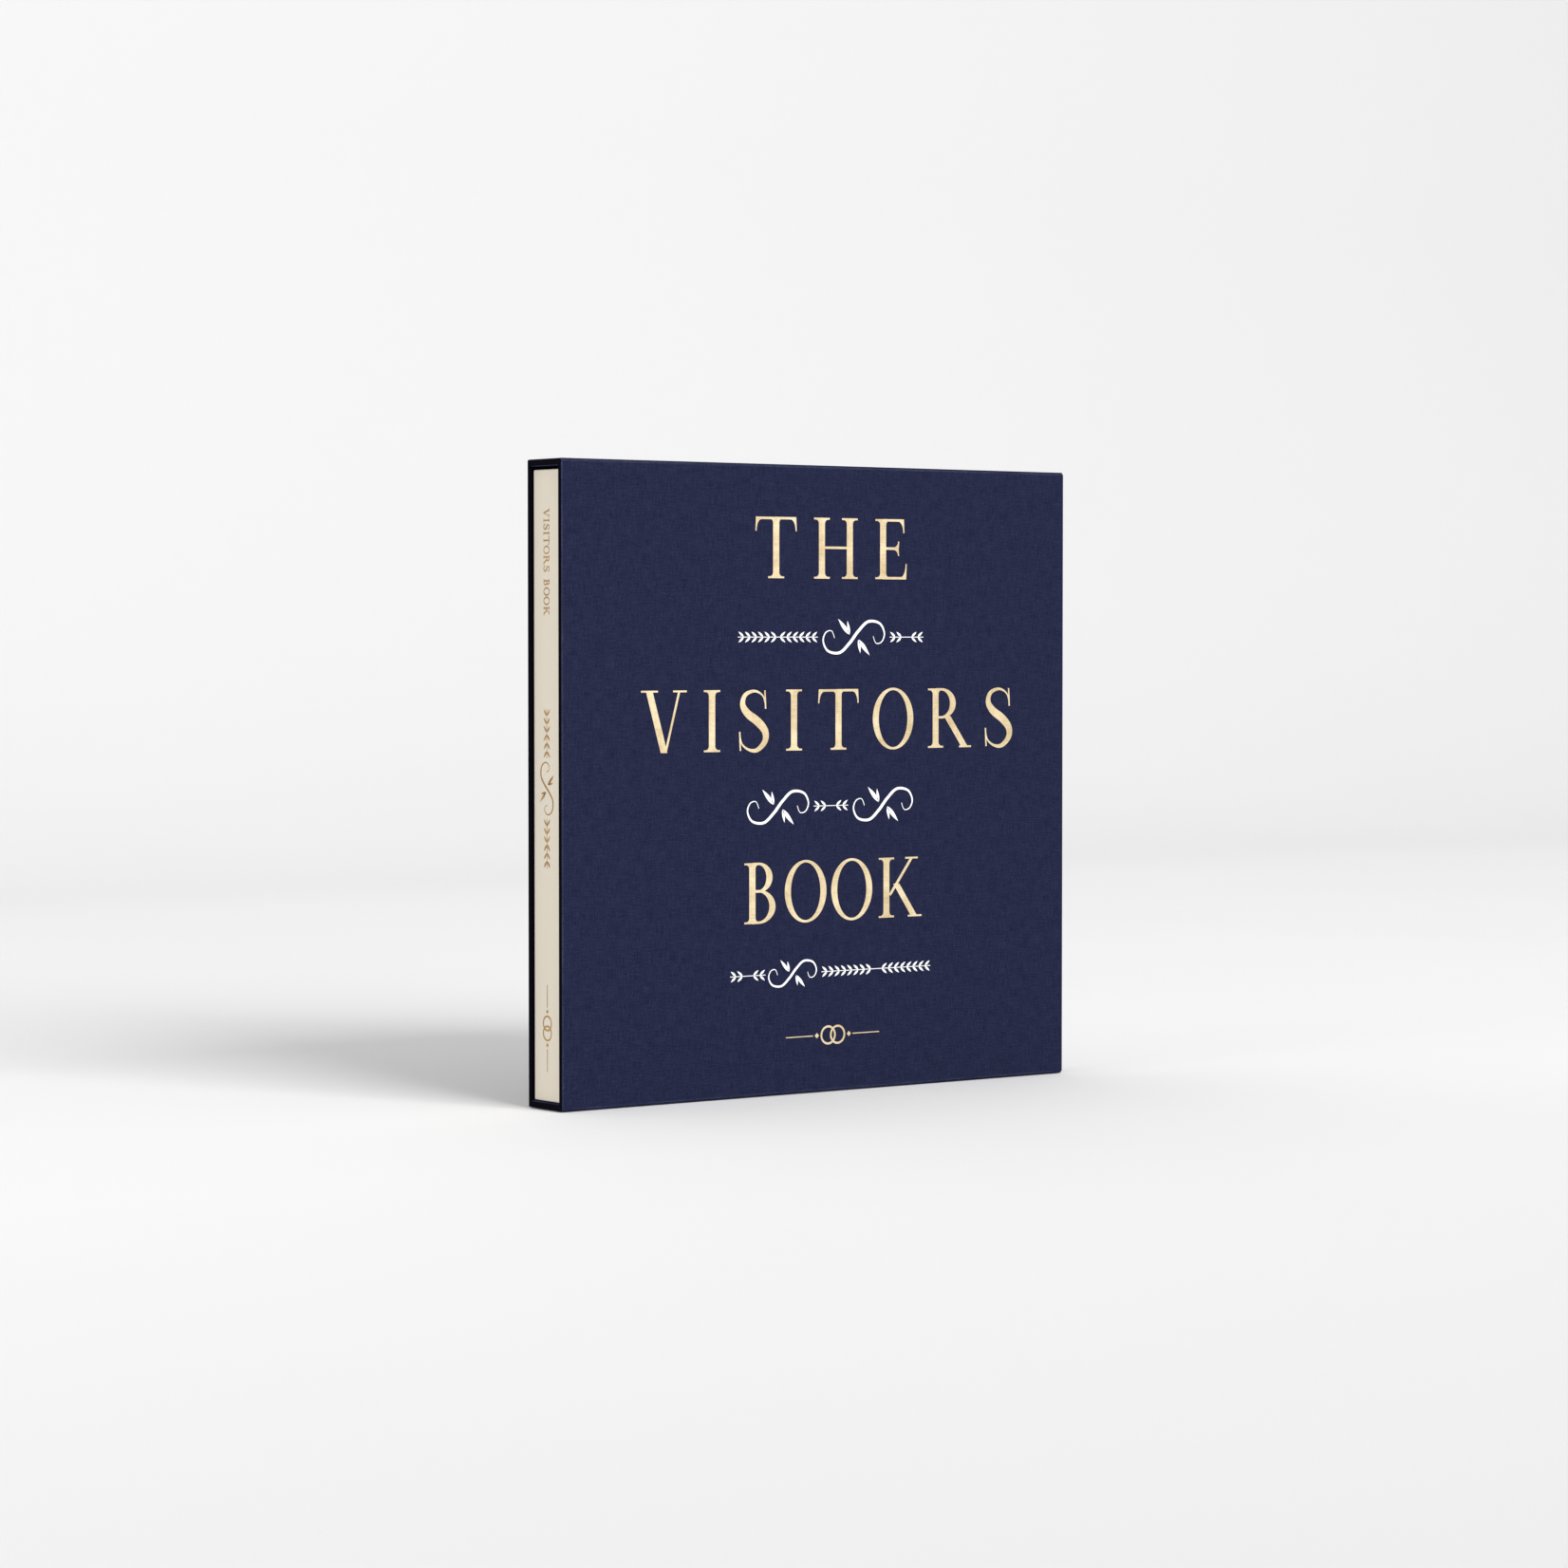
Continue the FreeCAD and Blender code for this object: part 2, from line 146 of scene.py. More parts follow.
def add_panel(name, low, high, turn=(0, 0, 0)):
    """A flat four-cornered sheet. Unturned, it faces up."""
    drop_selection()
    bpy.ops.mesh.primitive_plane_add(size=1, rotation=turn)
    piece = settle(name)
    size = [max(high[i] - low[i], 0) or 1 for i in range(3)]
    middle = (Vector(low) + Vector(high)) / 2
    piece.data.transform(Matrix.Translation(middle) @ Matrix.Diagonal((*size, 1)))
    return piece


def edit(piece, select="DESELECT"):
    """Goes into edit mode with nothing selected, or with everything where select says so."""
    choose(piece)
    bpy.ops.object.mode_set(mode="EDIT")
    bpy.ops.mesh.select_all(action=select)


def done():
    bpy.ops.object.mode_set(mode="OBJECT")


def middle_of(item):
    points = [item.co] if isinstance(item, bmesh.types.BMVert) else [v.co for v in item.verts]
    return sum(points, Vector()) / len(points)


def pick(kind, test):
    """Selects the faces, edges or vertices of the piece in edit mode that pass the test."""
    bpy.ops.mesh.select_mode(type=kind)
    bpy.ops.mesh.select_all(action="DESELECT")
    mesh = bmesh.from_edit_mesh(bpy.context.object.data)
    mesh.normal_update()
    found = 0
    for item in {"FACE": mesh.faces, "EDGE": mesh.edges, "VERT": mesh.verts}[kind]:
        if test(item, middle_of(item)):
            item.select_set(True)
            found += 1
    mesh.select_flush_mode()
    bmesh.update_edit_mesh(bpy.context.object.data)
    return found


def near(a, b, slack=SLACK):
    return abs(a - b) < slack


def upright_edge(x, y):
    """A test for the vertical edges that stand at x and y."""
    def test(edge, m):
        start, end = (vert.co for vert in edge.verts)
        return near(m.x, x) and near(m.y, y) and near(start.x, end.x) and near(start.y, end.y)
    return test


def grow(test, move, shrink=None, about=None):
    """Pulls a new strip of cloth out of the edges that pass the test."""
    if not pick("EDGE", test):
        raise RuntimeError("no edge to pull from")
    bpy.ops.mesh.extrude_edges_move(TRANSFORM_OT_translate={"value": move})
    if shrink:
        bpy.ops.transform.resize(value=shrink, center_override=about)


def cut_away(at, facing):
    """Cuts the piece at a plane and clears what lies behind it."""
    bpy.ops.mesh.select_all(action="SELECT")
    bpy.ops.mesh.bisect(plane_co=at, plane_no=facing, clear_inner=True)


def round_sharp_edges(radius, segments=3, sharper_than=30):
    bpy.ops.mesh.select_mode(type="EDGE")
    bpy.ops.mesh.select_all(action="DESELECT")
    bpy.ops.mesh.edges_select_sharp(sharpness=math.radians(sharper_than))
    bpy.ops.mesh.bevel(offset=radius, segments=segments, affect="EDGES", clamp_overlap=True)


def modify(piece, kind, **settings):
    """Adds a modifier and applies it."""
    choose(piece)
    modifier = piece.modifiers.new(kind.title(), kind)
    for name, value in settings.items():
        setattr(modifier, name, value)
    bpy.ops.object.modifier_apply(modifier=modifier.name)


def thicken(skin):
    """Gives a skin the thickness of the cloth, inwards from its outer face."""
    modify(skin, "SOLIDIFY", thickness=CLOTH, offset=-1, use_even_offset=True)


def tidy(piece):
    edit(piece, "SELECT")
    bpy.ops.mesh.remove_doubles(threshold=SAME_POINT)
    bpy.ops.mesh.normals_make_consistent(inside=False)
    done()


def join(pieces, name):
    drop_selection()
    for piece in pieces:
        piece.select_set(True)
    bpy.context.view_layer.objects.active = pieces[0]
    bpy.ops.object.join()
    return rename(pieces[0], name)


def smooth(piece, angle=40):
    choose(piece)
    bpy.ops.object.shade_smooth_by_angle(angle=math.radians(angle))


def mark_wear_and_painted_light(piece):
    """Marks rounded edges for wear and a painted highlight, and mouth faces for a painted tone."""
    wear_and_highlight = piece.data.attributes.new("wear_and_highlight", "FLOAT", "FACE")
    rim_shade_and_spine_light = piece.data.attributes.new("rim_shade_and_spine_light", "FLOAT", "FACE")
    middle_z = (piece.bound_box[0][2] + piece.bound_box[1][2]) / 2
    for face in piece.data.polygons:
        flat = max(abs(v) for v in face.normal) > 0.999
        inward = Vector((0, face.center.y, face.center.z - middle_z)).dot(face.normal) < 0
        # Mouth faces get a flat painted tone: shade on the case's rim, light on the book's spine.
        on_rim = face.center.x < mouth_x + RIM_REACH and (face.normal.x < -0.6 or inward)
        # Rounded faces get the mark for wear and a painted highlight.
        wear_and_highlight.data[face.index].value = float(not flat and not on_rim)
        rim_shade_and_spine_light.data[face.index].value = float(on_rim)


def lay_thread_map(piece):
    """A map in metres, seen along the nearest axis, so that the threads run true on every side."""
    edit(piece, "SELECT")
    bpy.ops.uv.cube_project(cube_size=1.0, correct_aspect=False, scale_to_bounds=False)
    done()


def tell(piece):
    size = [round(v / MM, 2) for v in piece.dimensions]
    print(piece.name, len(piece.data.polygons), "faces", size, "mm")


# %% [markdown]
# ## The wrap cloth
# One piece of navy cloth goes round the front, the closed end and the back of the box. It could be
# draped by simulation, but cloth that is glued down on board has no folds to fall in, so it is a box
# skin. The top and the bottom are inset, which gives the mitred corners of the real turn-ins, and
# opened. The box starts too long and is cut at the mouth, and from there the cloth is pulled round
# the rim and 15 mm into the case.

# %% Wrap cloth
PAST = 30 * MM
EDGE_ROUND = 0.9 * MM
mid_z = (wrap_low.z + wrap_high.z) / 2
inner_share = (ceiling_z - floor_z) / (wrap_high.z - wrap_low.z)

wrap = add_box("slipcase_wrap_cloth", wrap_low - Vector((PAST, 0, 0)), wrap_high)
edit(wrap)
pick("FACE", lambda face, m: abs(face.normal.z) > 0.9)
bpy.ops.mesh.inset(thickness=EDGE_FOLD)
bpy.ops.mesh.delete(type="FACE")
cut_away((mouth_x, 0, 0), (1, 0, 0))
for side in (-1, 1):
    grow(upright_edge(mouth_x, side * case_half), (0, -side * rim, 0),
         shrink=(1, 1, inner_share), about=(mouth_x, 0, mid_z))
    grow(upright_edge(mouth_x, side * (case_half - rim)), (MOUTH_FOLD, 0, 0))
round_sharp_edges(EDGE_ROUND, segments=4)
done()
thicken(wrap)
tidy(wrap)
tell(wrap)

# %% [markdown]
# A second piece covers the top and a third the bottom. Each strip stops a little short of the edge,
# and its end is folded over the rim and into the mouth, narrowed to meet the wrap in a mitre.

# %% Top and bottom strips
STRIP_PROUD = 0.04 * MM


def make_strip(name, z, sign):
    """sign is +1 for the top strip and -1 for the bottom one."""
    low = (mouth_x - STRIP_PROUD, strip_low.y, z)
    high = (strip_high.x, strip_high.y, z)
    strip = add_panel(name, low, high, turn=(0 if sign > 0 else math.pi, 0, 0))
    edit(strip)
    drop = abs(z - (ceiling_z if sign > 0 else floor_z))
    inner = (case_half - rim) / strip_high.y
    edge_x = mouth_x - STRIP_PROUD
    grow(lambda edge, m: near(m.x, edge_x), (0, 0, -sign * drop),
         shrink=(1, inner, 1), about=(edge_x, 0, z))
    grow(lambda edge, m: near(m.x, edge_x) and near(m.z, z - sign * drop), (MOUTH_FOLD, 0, 0))
    round_sharp_edges(EDGE_ROUND, segments=4)
    done()
    thicken(strip)
    tidy(strip)
    tell(strip)
    return strip


top_strip = make_strip("slipcase_top_cloth", top_of_case, 1)
bottom_strip = make_strip("slipcase_bottom_cloth", 0.0, -1)

# %% [markdown]
# ## The cover cloth
# The book's cloth is one piece too. Each cover is a box skin whose inner face is inset by the
# turn-in and opened, so that its corners are mitred. The spine is a narrow box skin. Between them
# the cloth is pulled down into the joint, which is the groove that lets a cover swing.

# %% Cover cloth
JOINT_DEPTH = 1.8 * MM
JOINT_SLOPE = 1.1 * MM
COVER_ROUND = 0.55 * MM
book_half = cover_high.y
inside_half = book_half - board_depth


def make_cover(side):
    """side is -1 for the front cover and +1 for the back cover."""
    outer, inner = side * book_half, side * inside_half
    low = (joint_x - PAST, min(outer, inner), cover_low.z)
    high = (cover_high.x, max(outer, inner), cover_high.z)
    cover = add_box(f"cover_{side}", low, high)
    edit(cover)
    pick("FACE", lambda face, m: face.normal.y * side < -0.9)
    bpy.ops.mesh.inset(thickness=COVER_FOLD)
    bpy.ops.mesh.delete(type="FACE")
    cut_away((joint_x, 0, 0), (1, 0, 0))
    low_y = outer - side * JOINT_DEPTH
    route = ((joint_x, outer), (joint_x - JOINT_SLOPE, low_y), (spine_in_x + JOINT_SLOPE, low_y),
             (spine_in_x, outer))
    for (x0, y0), (x1, y1) in zip(route, route[1:]):
        grow(upright_edge(x0, y0), (x1 - x0, y1 - y0, 0))
    done()
    return cover


def make_spine():
    spine = add_box("spine_skin", (cover_low.x, -book_half, cover_low.z),
                    (spine_in_x, book_half, cover_high.z))
    edit(spine)
    pick("FACE", lambda face, m: face.normal.x > 0.9)
    bpy.ops.mesh.delete(type="FACE")
    done()
    return spine


def make_hem(x, y, top):
    """The cloth folded down behind the spine or a joint, at the head or the tail."""
    end = cover_high.z if top else cover_low.z
    other = end - COVER_FOLD if top else end + COVER_FOLD
    return add_box("hem", (x[0], y[0], min(end, other)), (x[1], y[1], max(end, other)))


cover = join([make_cover(-1), make_cover(1), make_spine()], "book_cover_cloth")
tidy(cover)
edit(cover)
round_sharp_edges(COVER_ROUND)
done()
thicken(cover)
joint_half = book_half - JOINT_DEPTH - CLOTH
middle_half = joint_half - CLOTH / 2
hems = []
for top in (False, True):
    hems.append(make_hem((spine_in_x, spine_in_x + CLOTH), (-middle_half, middle_half), top))
    for side in (-1, 1):
        layer = sorted((side * (joint_half - CLOTH), side * joint_half))
        hems.append(make_hem((spine_in_x + CLOTH, joint_x), layer, top))
cover = join([cover, *hems], "book_cover_cloth")
tidy(cover)
tell(cover)

# %% [markdown]
# ## The leaves
# The book has ten signatures. Each is four sheets, folded once and nested, so it has eight leaves.
# One folded sheet is a panel whose edge is pulled round the fold and back, and the fold is bevelled
# into a half round. It could be a block with painted lines, but real sheets catch the light one by
# one.

# %% Folded sheets
SIGNATURES = 10
SHEETS = 4
LEAF = 0.15 * MM
TRIM = 0.05 * MM
signature_depth = page_high.y - page_low.y
leaf_pitch = signature_depth / (2 * SHEETS)
trim = random.Random(11)


def make_folded_sheet(name, y, half, fold_x, thickness):
    """A sheet folded at fold_x, its two leaves half either side of y."""
    low, high = (fold_x, y - half, page_low.z), (page_high.x, y - half, page_high.z)
    sheet = add_panel(name, low, high, turn=(math.pi / 2, 0, 0))
    edit(sheet)
    grow(upright_edge(fold_x, y - half), (0, 2 * half, 0))
    grow(upright_edge(fold_x, y + half), (page_high.x - fold_x, 0, 0))
    pick("EDGE", lambda edge, m: near(m.x, fold_x) and near(abs(m.y - y), half, SAME_POINT))
    bpy.ops.mesh.bevel(offset=0.97 * half, segments=4, affect="EDGES")
    for side in (-1, 1):
        pick("VERT", lambda vert, m: near(m.x, page_high.x, 10 * SLACK) and (m.y - y) * side > 0)
        short = (trim.uniform(-TRIM, 0), 0, trim.uniform(-TRIM, TRIM) / 3)
        bpy.ops.transform.translate(value=short)
    done()
    modify(sheet, "SOLIDIFY", thickness=thickness, offset=0)
    return sheet


def make_signature(number):
    low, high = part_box(f"signature_{number:02d}")
    sheets = []
    for nest in range(SHEETS):
        half = (SHEETS - nest - 0.5) * leaf_pitch
        fold = low.x + nest * leaf_pitch + LEAF / 2
        sheets.append(make_folded_sheet("sheet", (low.y + high.y) / 2, half, fold, LEAF))
    signature = join(sheets, f"signature_{number:02d}_leaves")
    tidy(signature)
    smooth(signature)
    return signature


signatures = [make_signature(number) for number in range(1, SIGNATURES + 1)]
tell(signatures[0])

# %% [markdown]
# The endpapers are folded sheets as well: one leaf is pasted to the cover, the other is free.

# %% Endpapers
endpapers = []
for name in ("front_endpaper", "back_endpaper"):
    low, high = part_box(name)
    depth = high.y - low.y
    paper = make_folded_sheet(f"{name}_leaves", (low.y + high.y) / 2, depth / 4, low.x + depth / 4,
                              0.46 * depth)
    tidy(paper)
    smooth(paper)
    endpapers.append(paper)
    tell(paper)

# %% [markdown]
# ## The headbands
# A headband is a cord on a tape, wound with silk in two colours. It could be a striped cylinder, but
# the windings are what makes it look sewn, so one winding is a small ring and the rest are copies.

# %% Headbands
BEAD = 0.7 * MM
SILK = 0.13 * MM
WINDING = 0.25 * MM
TAPE = 0.38 * MM


def make_headband(name):
    low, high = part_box(name)
    at_head = name.startswith("head")
    bead_z = high.z - BEAD if at_head else low.z + BEAD
    bead_x = low.x + BEAD
    windings = int((high.y - low.y - 2 * SILK) / WINDING) + 1
    drop_selection()
    bpy.ops.mesh.primitive_torus_add(major_segments=16, minor_segments=6, major_radius=BEAD - SILK,
                                     minor_radius=SILK, rotation=(math.pi / 2, 0, 0),
                                     location=(bead_x, low.y + SILK, bead_z))
    silk = settle(f"{name}_silk")
    modify(silk, "ARRAY", count=windings, use_relative_offset=False, use_constant_offset=True,
           constant_offset_displace=(0, WINDING, 0))
    drop_selection()
    bpy.ops.mesh.primitive_cylinder_add(vertices=20, radius=BEAD - SILK, depth=high.y - low.y - SILK,
                                        rotation=(math.pi / 2, 0, 0),
                                        location=(bead_x, (low.y + high.y) / 2, bead_z))
    core = settle("core")
    edit(core)
    round_sharp_edges(0.2 * MM, segments=2, sharper_than=60)
    done()
    tape_z = (low.z, bead_z) if at_head else (bead_z, high.z)
    tape = add_box("tape", (low.x, low.y, tape_z[0]), (low.x + TAPE, high.y, tape_z[1]))
    edit(tape)
    round_sharp_edges(0.08 * MM, segments=2)
    done()
    band = join([silk, core, tape], f"{name}_wound")
    tidy(band)
    smooth(band, 50)
    tell(band)
    return band


headbands = [make_headband(name) for name in ("head_headband", "tail_headband")]

# %% [markdown]
# ## The foil
# Foil is stamped with a hot metal die, so every letter is a flat, sharp shape in the cloth. Text
# objects would be quicker, but the built-in font has no serifs, so letters are drawn as a pen writes
# roman capitals: thick upright stems, thin joins, swelling bowls and small bracketed feet. Each
# stroke is an outline. Cap height is 1 while a letter is drawn.

# %% Pen strokes
THICK = 0.125
HAIR = 0.04
SLAB = 0.03
REACH = 0.1
BRACKET = 0.065
BEAK_TIP = 0.012
BEAK_SWEEP = 0.1
ROUND = 28
NUDGE = 0.004


def turn(steps, start, end):
    """Angles in radians from start to end, both in degrees."""
    return [math.radians(start + (end - start) * i / steps) for i in range(steps + 1)]


def stem(x, low=0.0, high=1.0):
    """An upright stroke with a bracketed slab at its foot and at its head."""
    right = []
    for z, up in ((low, 1), (high, -1)):
        centre = (THICK / 2 + BRACKET, z + up * (SLAB + BRACKET))
        slab = [(THICK / 2 + REACH, z), (THICK / 2 + REACH, z + up * SLAB)]
        slab += [(centre[0] - BRACKET * math.sin(a), centre[1] - up * BRACKET * math.cos(a))
                 for a in turn(5, 0, 90)]
        right += slab if up > 0 else slab[::-1]
    return [(x + dx, z) for dx, z in right] + [(x - dx, z) for dx, z in reversed(right)]


def arm(x0, x1, z, up, beak=0.23):
    """A thin level stroke from x0 to x1 that ends in a beak, upwards or downwards."""
    way = math.copysign(1, x1 - x0)
    tip, end = way * BEAK_TIP, z + up * beak
    points = [(x0, z), (x1, z), (x1 + tip, end), (x1 - tip, end)]
    for a in turn(6, 15, 90):
        back = way * (BEAK_TIP + BEAK_SWEEP * (1 - math.cos(a)))
        points.append((x1 - back, z + up * (beak - (beak - HAIR) * math.sin(a))))
    return points + [(x0, z + up * HAIR)]


def crescent(outer, inner, start, end):
    """The band between two ellipses, each (x, z, half width, half height)."""
    def on(ellipse, angles):
        x, z, wide, tall = ellipse
        return [(x + wide * math.cos(a), z + tall * math.sin(a)) for a in angles]
    return on(outer, turn(ROUND, start, end)) + on(inner, turn(ROUND, end, start))


def level(x0, x1, z, thick=HAIR):
    return [(x0, z), (x1, z), (x1, z + thick), (x0, z + thick)]


def slanted(x0, z0, x1, z1, thick):
    """A straight stroke between two points, cut level at both ends."""
    half = thick / 2 * math.hypot(x1 - x0, z1 - z0) / abs(z1 - z0)
    return [(x0 - half, z0), (x0 + half, z0), (x1 + half, z1), (x1 - half, z1)]


def along(points, t):
    """A point at t, from 0 to 1, on a smooth line through the points."""
    spans = len(points) - 1
    i = min(int(t * spans), spans - 1)
    u = t * spans - i
    p = [points[max(0, min(spans, i + k))] for k in (-1, 0, 1, 2)]
    weights = (-u + 2 * u**2 - u**3, 2 - 5 * u**2 + 3 * u**3, u + 4 * u**2 - 3 * u**3, -u**2 + u**3)
    return tuple(sum(w * q[axis] for w, q in zip(weights, p)) / 2 for axis in (0, 1))


def swelling(points, thin, thick, steps=48, peak=1.0):
    """A pen stroke along a smooth line, thin at its ends and thick halfway."""
    left, right = [], []
    for i in range(steps + 1):
        t = i / steps
        x, z = along(points, t)
        ahead, behind = along(points, min(1, t + NUDGE)), along(points, max(0, t - NUDGE))
        dx, dz = ahead[0] - behind[0], ahead[1] - behind[1]
        long = math.hypot(dx, dz)
        half = (thin + (thick - thin) * math.sin(math.pi * t) ** (2 * peak)) / 2
        left.append((x - dz / long * half, z + dx / long * half))
        right.append((x + dz / long * half, z - dx / long * half))
    return left + right[::-1]


# %% [markdown]
# The words are the plain name of the thing, and nothing else is written on it. Each letter is its
# width and its strokes.

# %% Letters
STEM = 0.2
O_BAND = ((0.43, 0.5, 0.43, 0.515), (0.43, 0.5, 0.43 - THICK, 0.515 - HAIR))
S_LINE = [(0.6, 0.74), (0.545, 0.9), (0.38, 0.98), (0.19, 0.92), (0.135, 0.76), (0.235, 0.615),
          (0.435, 0.485), (0.585, 0.33), (0.585, 0.16), (0.43, 0.02), (0.26, 0.025), (0.12, 0.12),
          (0.075, 0.27)]


def bowl(z, wide, tall):
    """The round of a B or an R, to the right of its stem, with thin strokes that join the two."""
    x = STEM + THICK
    return [crescent((x, z, wide, tall), (x, z, wide - THICK, tall - HAIR), -93, 92),
            level(STEM, x + 0.01, z + tall - HAIR), level(STEM - 0.01, x + 0.01, z - tall)]


LETTERS = {
    "T": (0.88, [stem(0.44, high=0.996), arm(0.42, 0.85, 1, -1), arm(0.46, 0.03, 0.998, -1)]),
    "H": (0.98, [stem(STEM), stem(0.78), level(STEM, 0.78, 0.49)]),
    "E": (0.76, [stem(STEM, low=0.003, high=0.997), arm(STEM, 0.64, 1, -1),
                 arm(STEM, 0.69, 0, 1, beak=0.26), arm(STEM, 0.53, 0.49, 1, beak=0.14),
                 arm(STEM + 0.01, 0.527, 0.493 + HAIR, -1, beak=0.14)]),
    "V": (0.94, [slanted(0.18, 0.99, 0.47, 0.0, THICK), slanted(0.77, 0.985, 0.5, 0.004, HAIR),
                 level(0.02, 0.35, 1 - SLAB, SLAB), level(0.65, 0.92, 1 - SLAB, SLAB)]),
    "I": (0.4, [stem(STEM)]),
    "S": (0.7, [swelling(S_LINE, 0.6 * HAIR, 1.15 * THICK, peak=1.3),
                slanted(0.6, 0.69, 0.585, 0.99, 0.028), slanted(0.075, 0.32, 0.09, 0.01, 0.028)]),
    "O": (0.86, [crescent(*O_BAND, 90, 272), crescent(*O_BAND, 270, 452)]),
    "R": (0.93, [stem(STEM, high=0.996), *bowl(0.745, 0.31, 0.255),
                 slanted(0.83, 0.01, 0.45, 0.53, 0.9 * THICK), level(0.71, 0.97, 0, SLAB)]),
    "B": (0.76, [stem(STEM, low=0.004, high=0.996), *bowl(0.755, 0.285, 0.245),
                 *bowl(0.277, 0.345, 0.277)]),
    "K": (0.93, [stem(STEM), slanted(0.27, 0.37, 0.74, 0.99, 1.2 * HAIR),
                 level(0.6, 0.87, 1 - SLAB, SLAB), slanted(0.79, 0.01, 0.41, 0.56, 0.85 * THICK),
                 level(0.66, 0.95, 0, SLAB)]),
}
print("letters drawn:", "".join(LETTERS))

# %% [markdown]
# A stroke becomes a solid: a filled circle gets as many corners as the outline has, the corners are
# put on the outline, and a modifier thickens the face. The strokes of one letter are united.

# %% Stamping
FOIL_DEPTH = 0.12 * MM
FOIL_PROUD = 0.05 * MM
STAGGER = 0.002 * MM
SPACE = 0.5


def cast(outline, size, bolder=0.0):
    """The outline as a flat solid in the XZ plane, its front at y = 0, grown by bolder."""
    drop_selection()
    bpy.ops.mesh.primitive_circle_add(vertices=len(outline), radius=1, fill_type="NGON")
    stroke = settle("stroke")
    for vert, (x, z) in zip(stroke.data.vertices, outline):
        vert.co = (x * size, 0, z * size)
    modify(stroke, "SOLIDIFY", thickness=FOIL_DEPTH, offset=0)
    stroke.data.transform(Matrix.Translation((0, FOIL_DEPTH / 2, 0)))
    if bolder:
        edit(stroke, "SELECT")
        bpy.ops.transform.shrink_fatten(value=bolder, use_even_offset=True)
        done()
    return stroke


def unite(strokes):
    """Makes one solid of strokes that cross. Each lies a hair deeper, so that no faces coincide."""
    first = strokes[0]
    for layer, other in enumerate(strokes[1:], 1):
        other.data.transform(Matrix.Translation((0, layer * STAGGER, 0)))
        modify(first, "BOOLEAN", operation="UNION", object=other, solver="EXACT")
        bpy.data.objects.remove(other)
    return first


def shift(piece, x, z):
    piece.data.transform(Matrix.Translation((x, 0, z)))
    return piece


def write(text, size, spacing, bolder=0.0):
    """The letters of the text side by side, centred on x = 0, standing on z = 0."""
    x, made = 0.0, []
    for letter in text:
        width, strokes = LETTERS.get(letter, (SPACE, []))
        if strokes:
            made.append(shift(unite([cast(s, size, bolder) for s in strokes]), x * size, 0))
        x += width + spacing
    middle = (x - spacing) * size / 2
    return join([shift(piece, -middle, 0) for piece in made], "word")


def put_on_front(piece, name, x, z):
    piece.data.transform(Matrix.Translation((x, -case_half - FOIL_PROUD, z)))
    return rename(piece, name)


def put_on_spine(piece, name, y, z):
    """Turns the piece to face -X, reading from the head down, and puts it on the spine."""
    turned = Matrix(((0, 1, 0, cover_low.x - FOIL_PROUD), (0, 0, -1, y), (-1, 0, 0, z), (0, 0, 0, 1)))
    piece.data.transform(turned)
    edit(piece, "SELECT")
    bpy.ops.mesh.normals_make_consistent(inside=False)
    done()
    return rename(piece, name)


FOIL_X = 5 * MM
CAPITAL = 25.2 * MM
ROWS = {"the": (213.2 * MM, 0.3), "visitors": (142.2 * MM, 0.28), "book": (71.2 * MM, 0.1)}
foil_gold = []
for word, (foot_z, spacing) in ROWS.items():
    piece = put_on_front(write(word.upper(), CAPITAL, spacing), f"foil_word_{word}", FOIL_X, foot_z)
    foil_gold.append(piece)
    tell(piece)

# %% [markdown]
# Between the words run three white lines of sprigs and scrolls. A leaf is a lens, a sprig is leaves
# in pairs along a thin line, and a scroll is one long pen stroke that swells in its middle and curls
# at its ends. These shapes hardly meet, so they are joined without a Boolean.

# %% Sprigs and scrolls
LEAF_PITCH = 3.3 * MM
LEAF_LONG = 3.3 * MM
LEAF_WIDE = 0.95 * MM
LEAF_LEAN = 52
VEIN = 0.28 * MM
SCROLL = [(-0.3, -0.01), (-0.345, 0.075), (-0.435, 0.055), (-0.475, -0.05), (-0.4, -0.17),
          (-0.22, -0.19), (-0.07, -0.075), (0, 0)]
SCROLL += [(-x, -z) for x, z in reversed(SCROLL[:-1])]


def leaf(x, z, angle, long, wide):
    """A leaf that starts at (x, z) and points at an angle in degrees."""
    c, s = math.cos(math.radians(angle)), math.sin(math.radians(angle))
    up = [(i / 8, math.sin(math.pi * (i / 8) ** 0.8)) for i in range(9)]
    flat = [(t * long, w * wide / 2) for t, w in up]
    flat += [(t * long, -w * wide / 2) for t, w in up[7:0:-1]]
    return [(x + c * a - s * b, z + s * a + c * b) for a, b in flat]


def sprig(width):
    """Pairs of leaves along a thin line, centred, pointing away from the middle."""
    strokes = [level(-width / 2, width / 2, -VEIN / 2, VEIN)]
    pairs = max(1, int(width / 2 / LEAF_PITCH))
    for side in (-1, 1):
        for i in range(pairs):
            x = side * (width / 2 - (i + 1) * LEAF_PITCH + 0.4 * MM)
            for up in (-1, 1):
                angle = up * (90 - side * LEAF_LEAN)
                strokes.append(leaf(x, up * 0.18 * MM, angle, LEAF_LONG, LEAF_WIDE))
    return strokes


def scroll(width):
    """A pen scroll with a leaf in each of its hollows."""
    line = [(x * width, z * width) for x, z in SCROLL]
    strokes = [swelling(line, VEIN, 0.04 * width, steps=72)]
    for side in (-1, 1):
        at = (side * -0.07 * width, side * 0.03 * width)
        turned = 0 if side > 0 else 180
        strokes.append(leaf(*at, 132 + turned, 0.26 * width, 0.055 * width))
        strokes.append(leaf(*at, 100 + turned, 0.17 * width, 0.04 * width))
    return strokes


def lay_line(parts):
    """Sprigs and scrolls side by side: each part is its shape, its left end and its right end."""
    placed = []
    for shape, left, right in parts:
        drawn = join([cast(stroke, 1) for stroke in shape((right - left) * MM)], "strokes")
        placed.append(shift(drawn, (left + right) / 2 * MM, 0))
    return join(placed, "line")


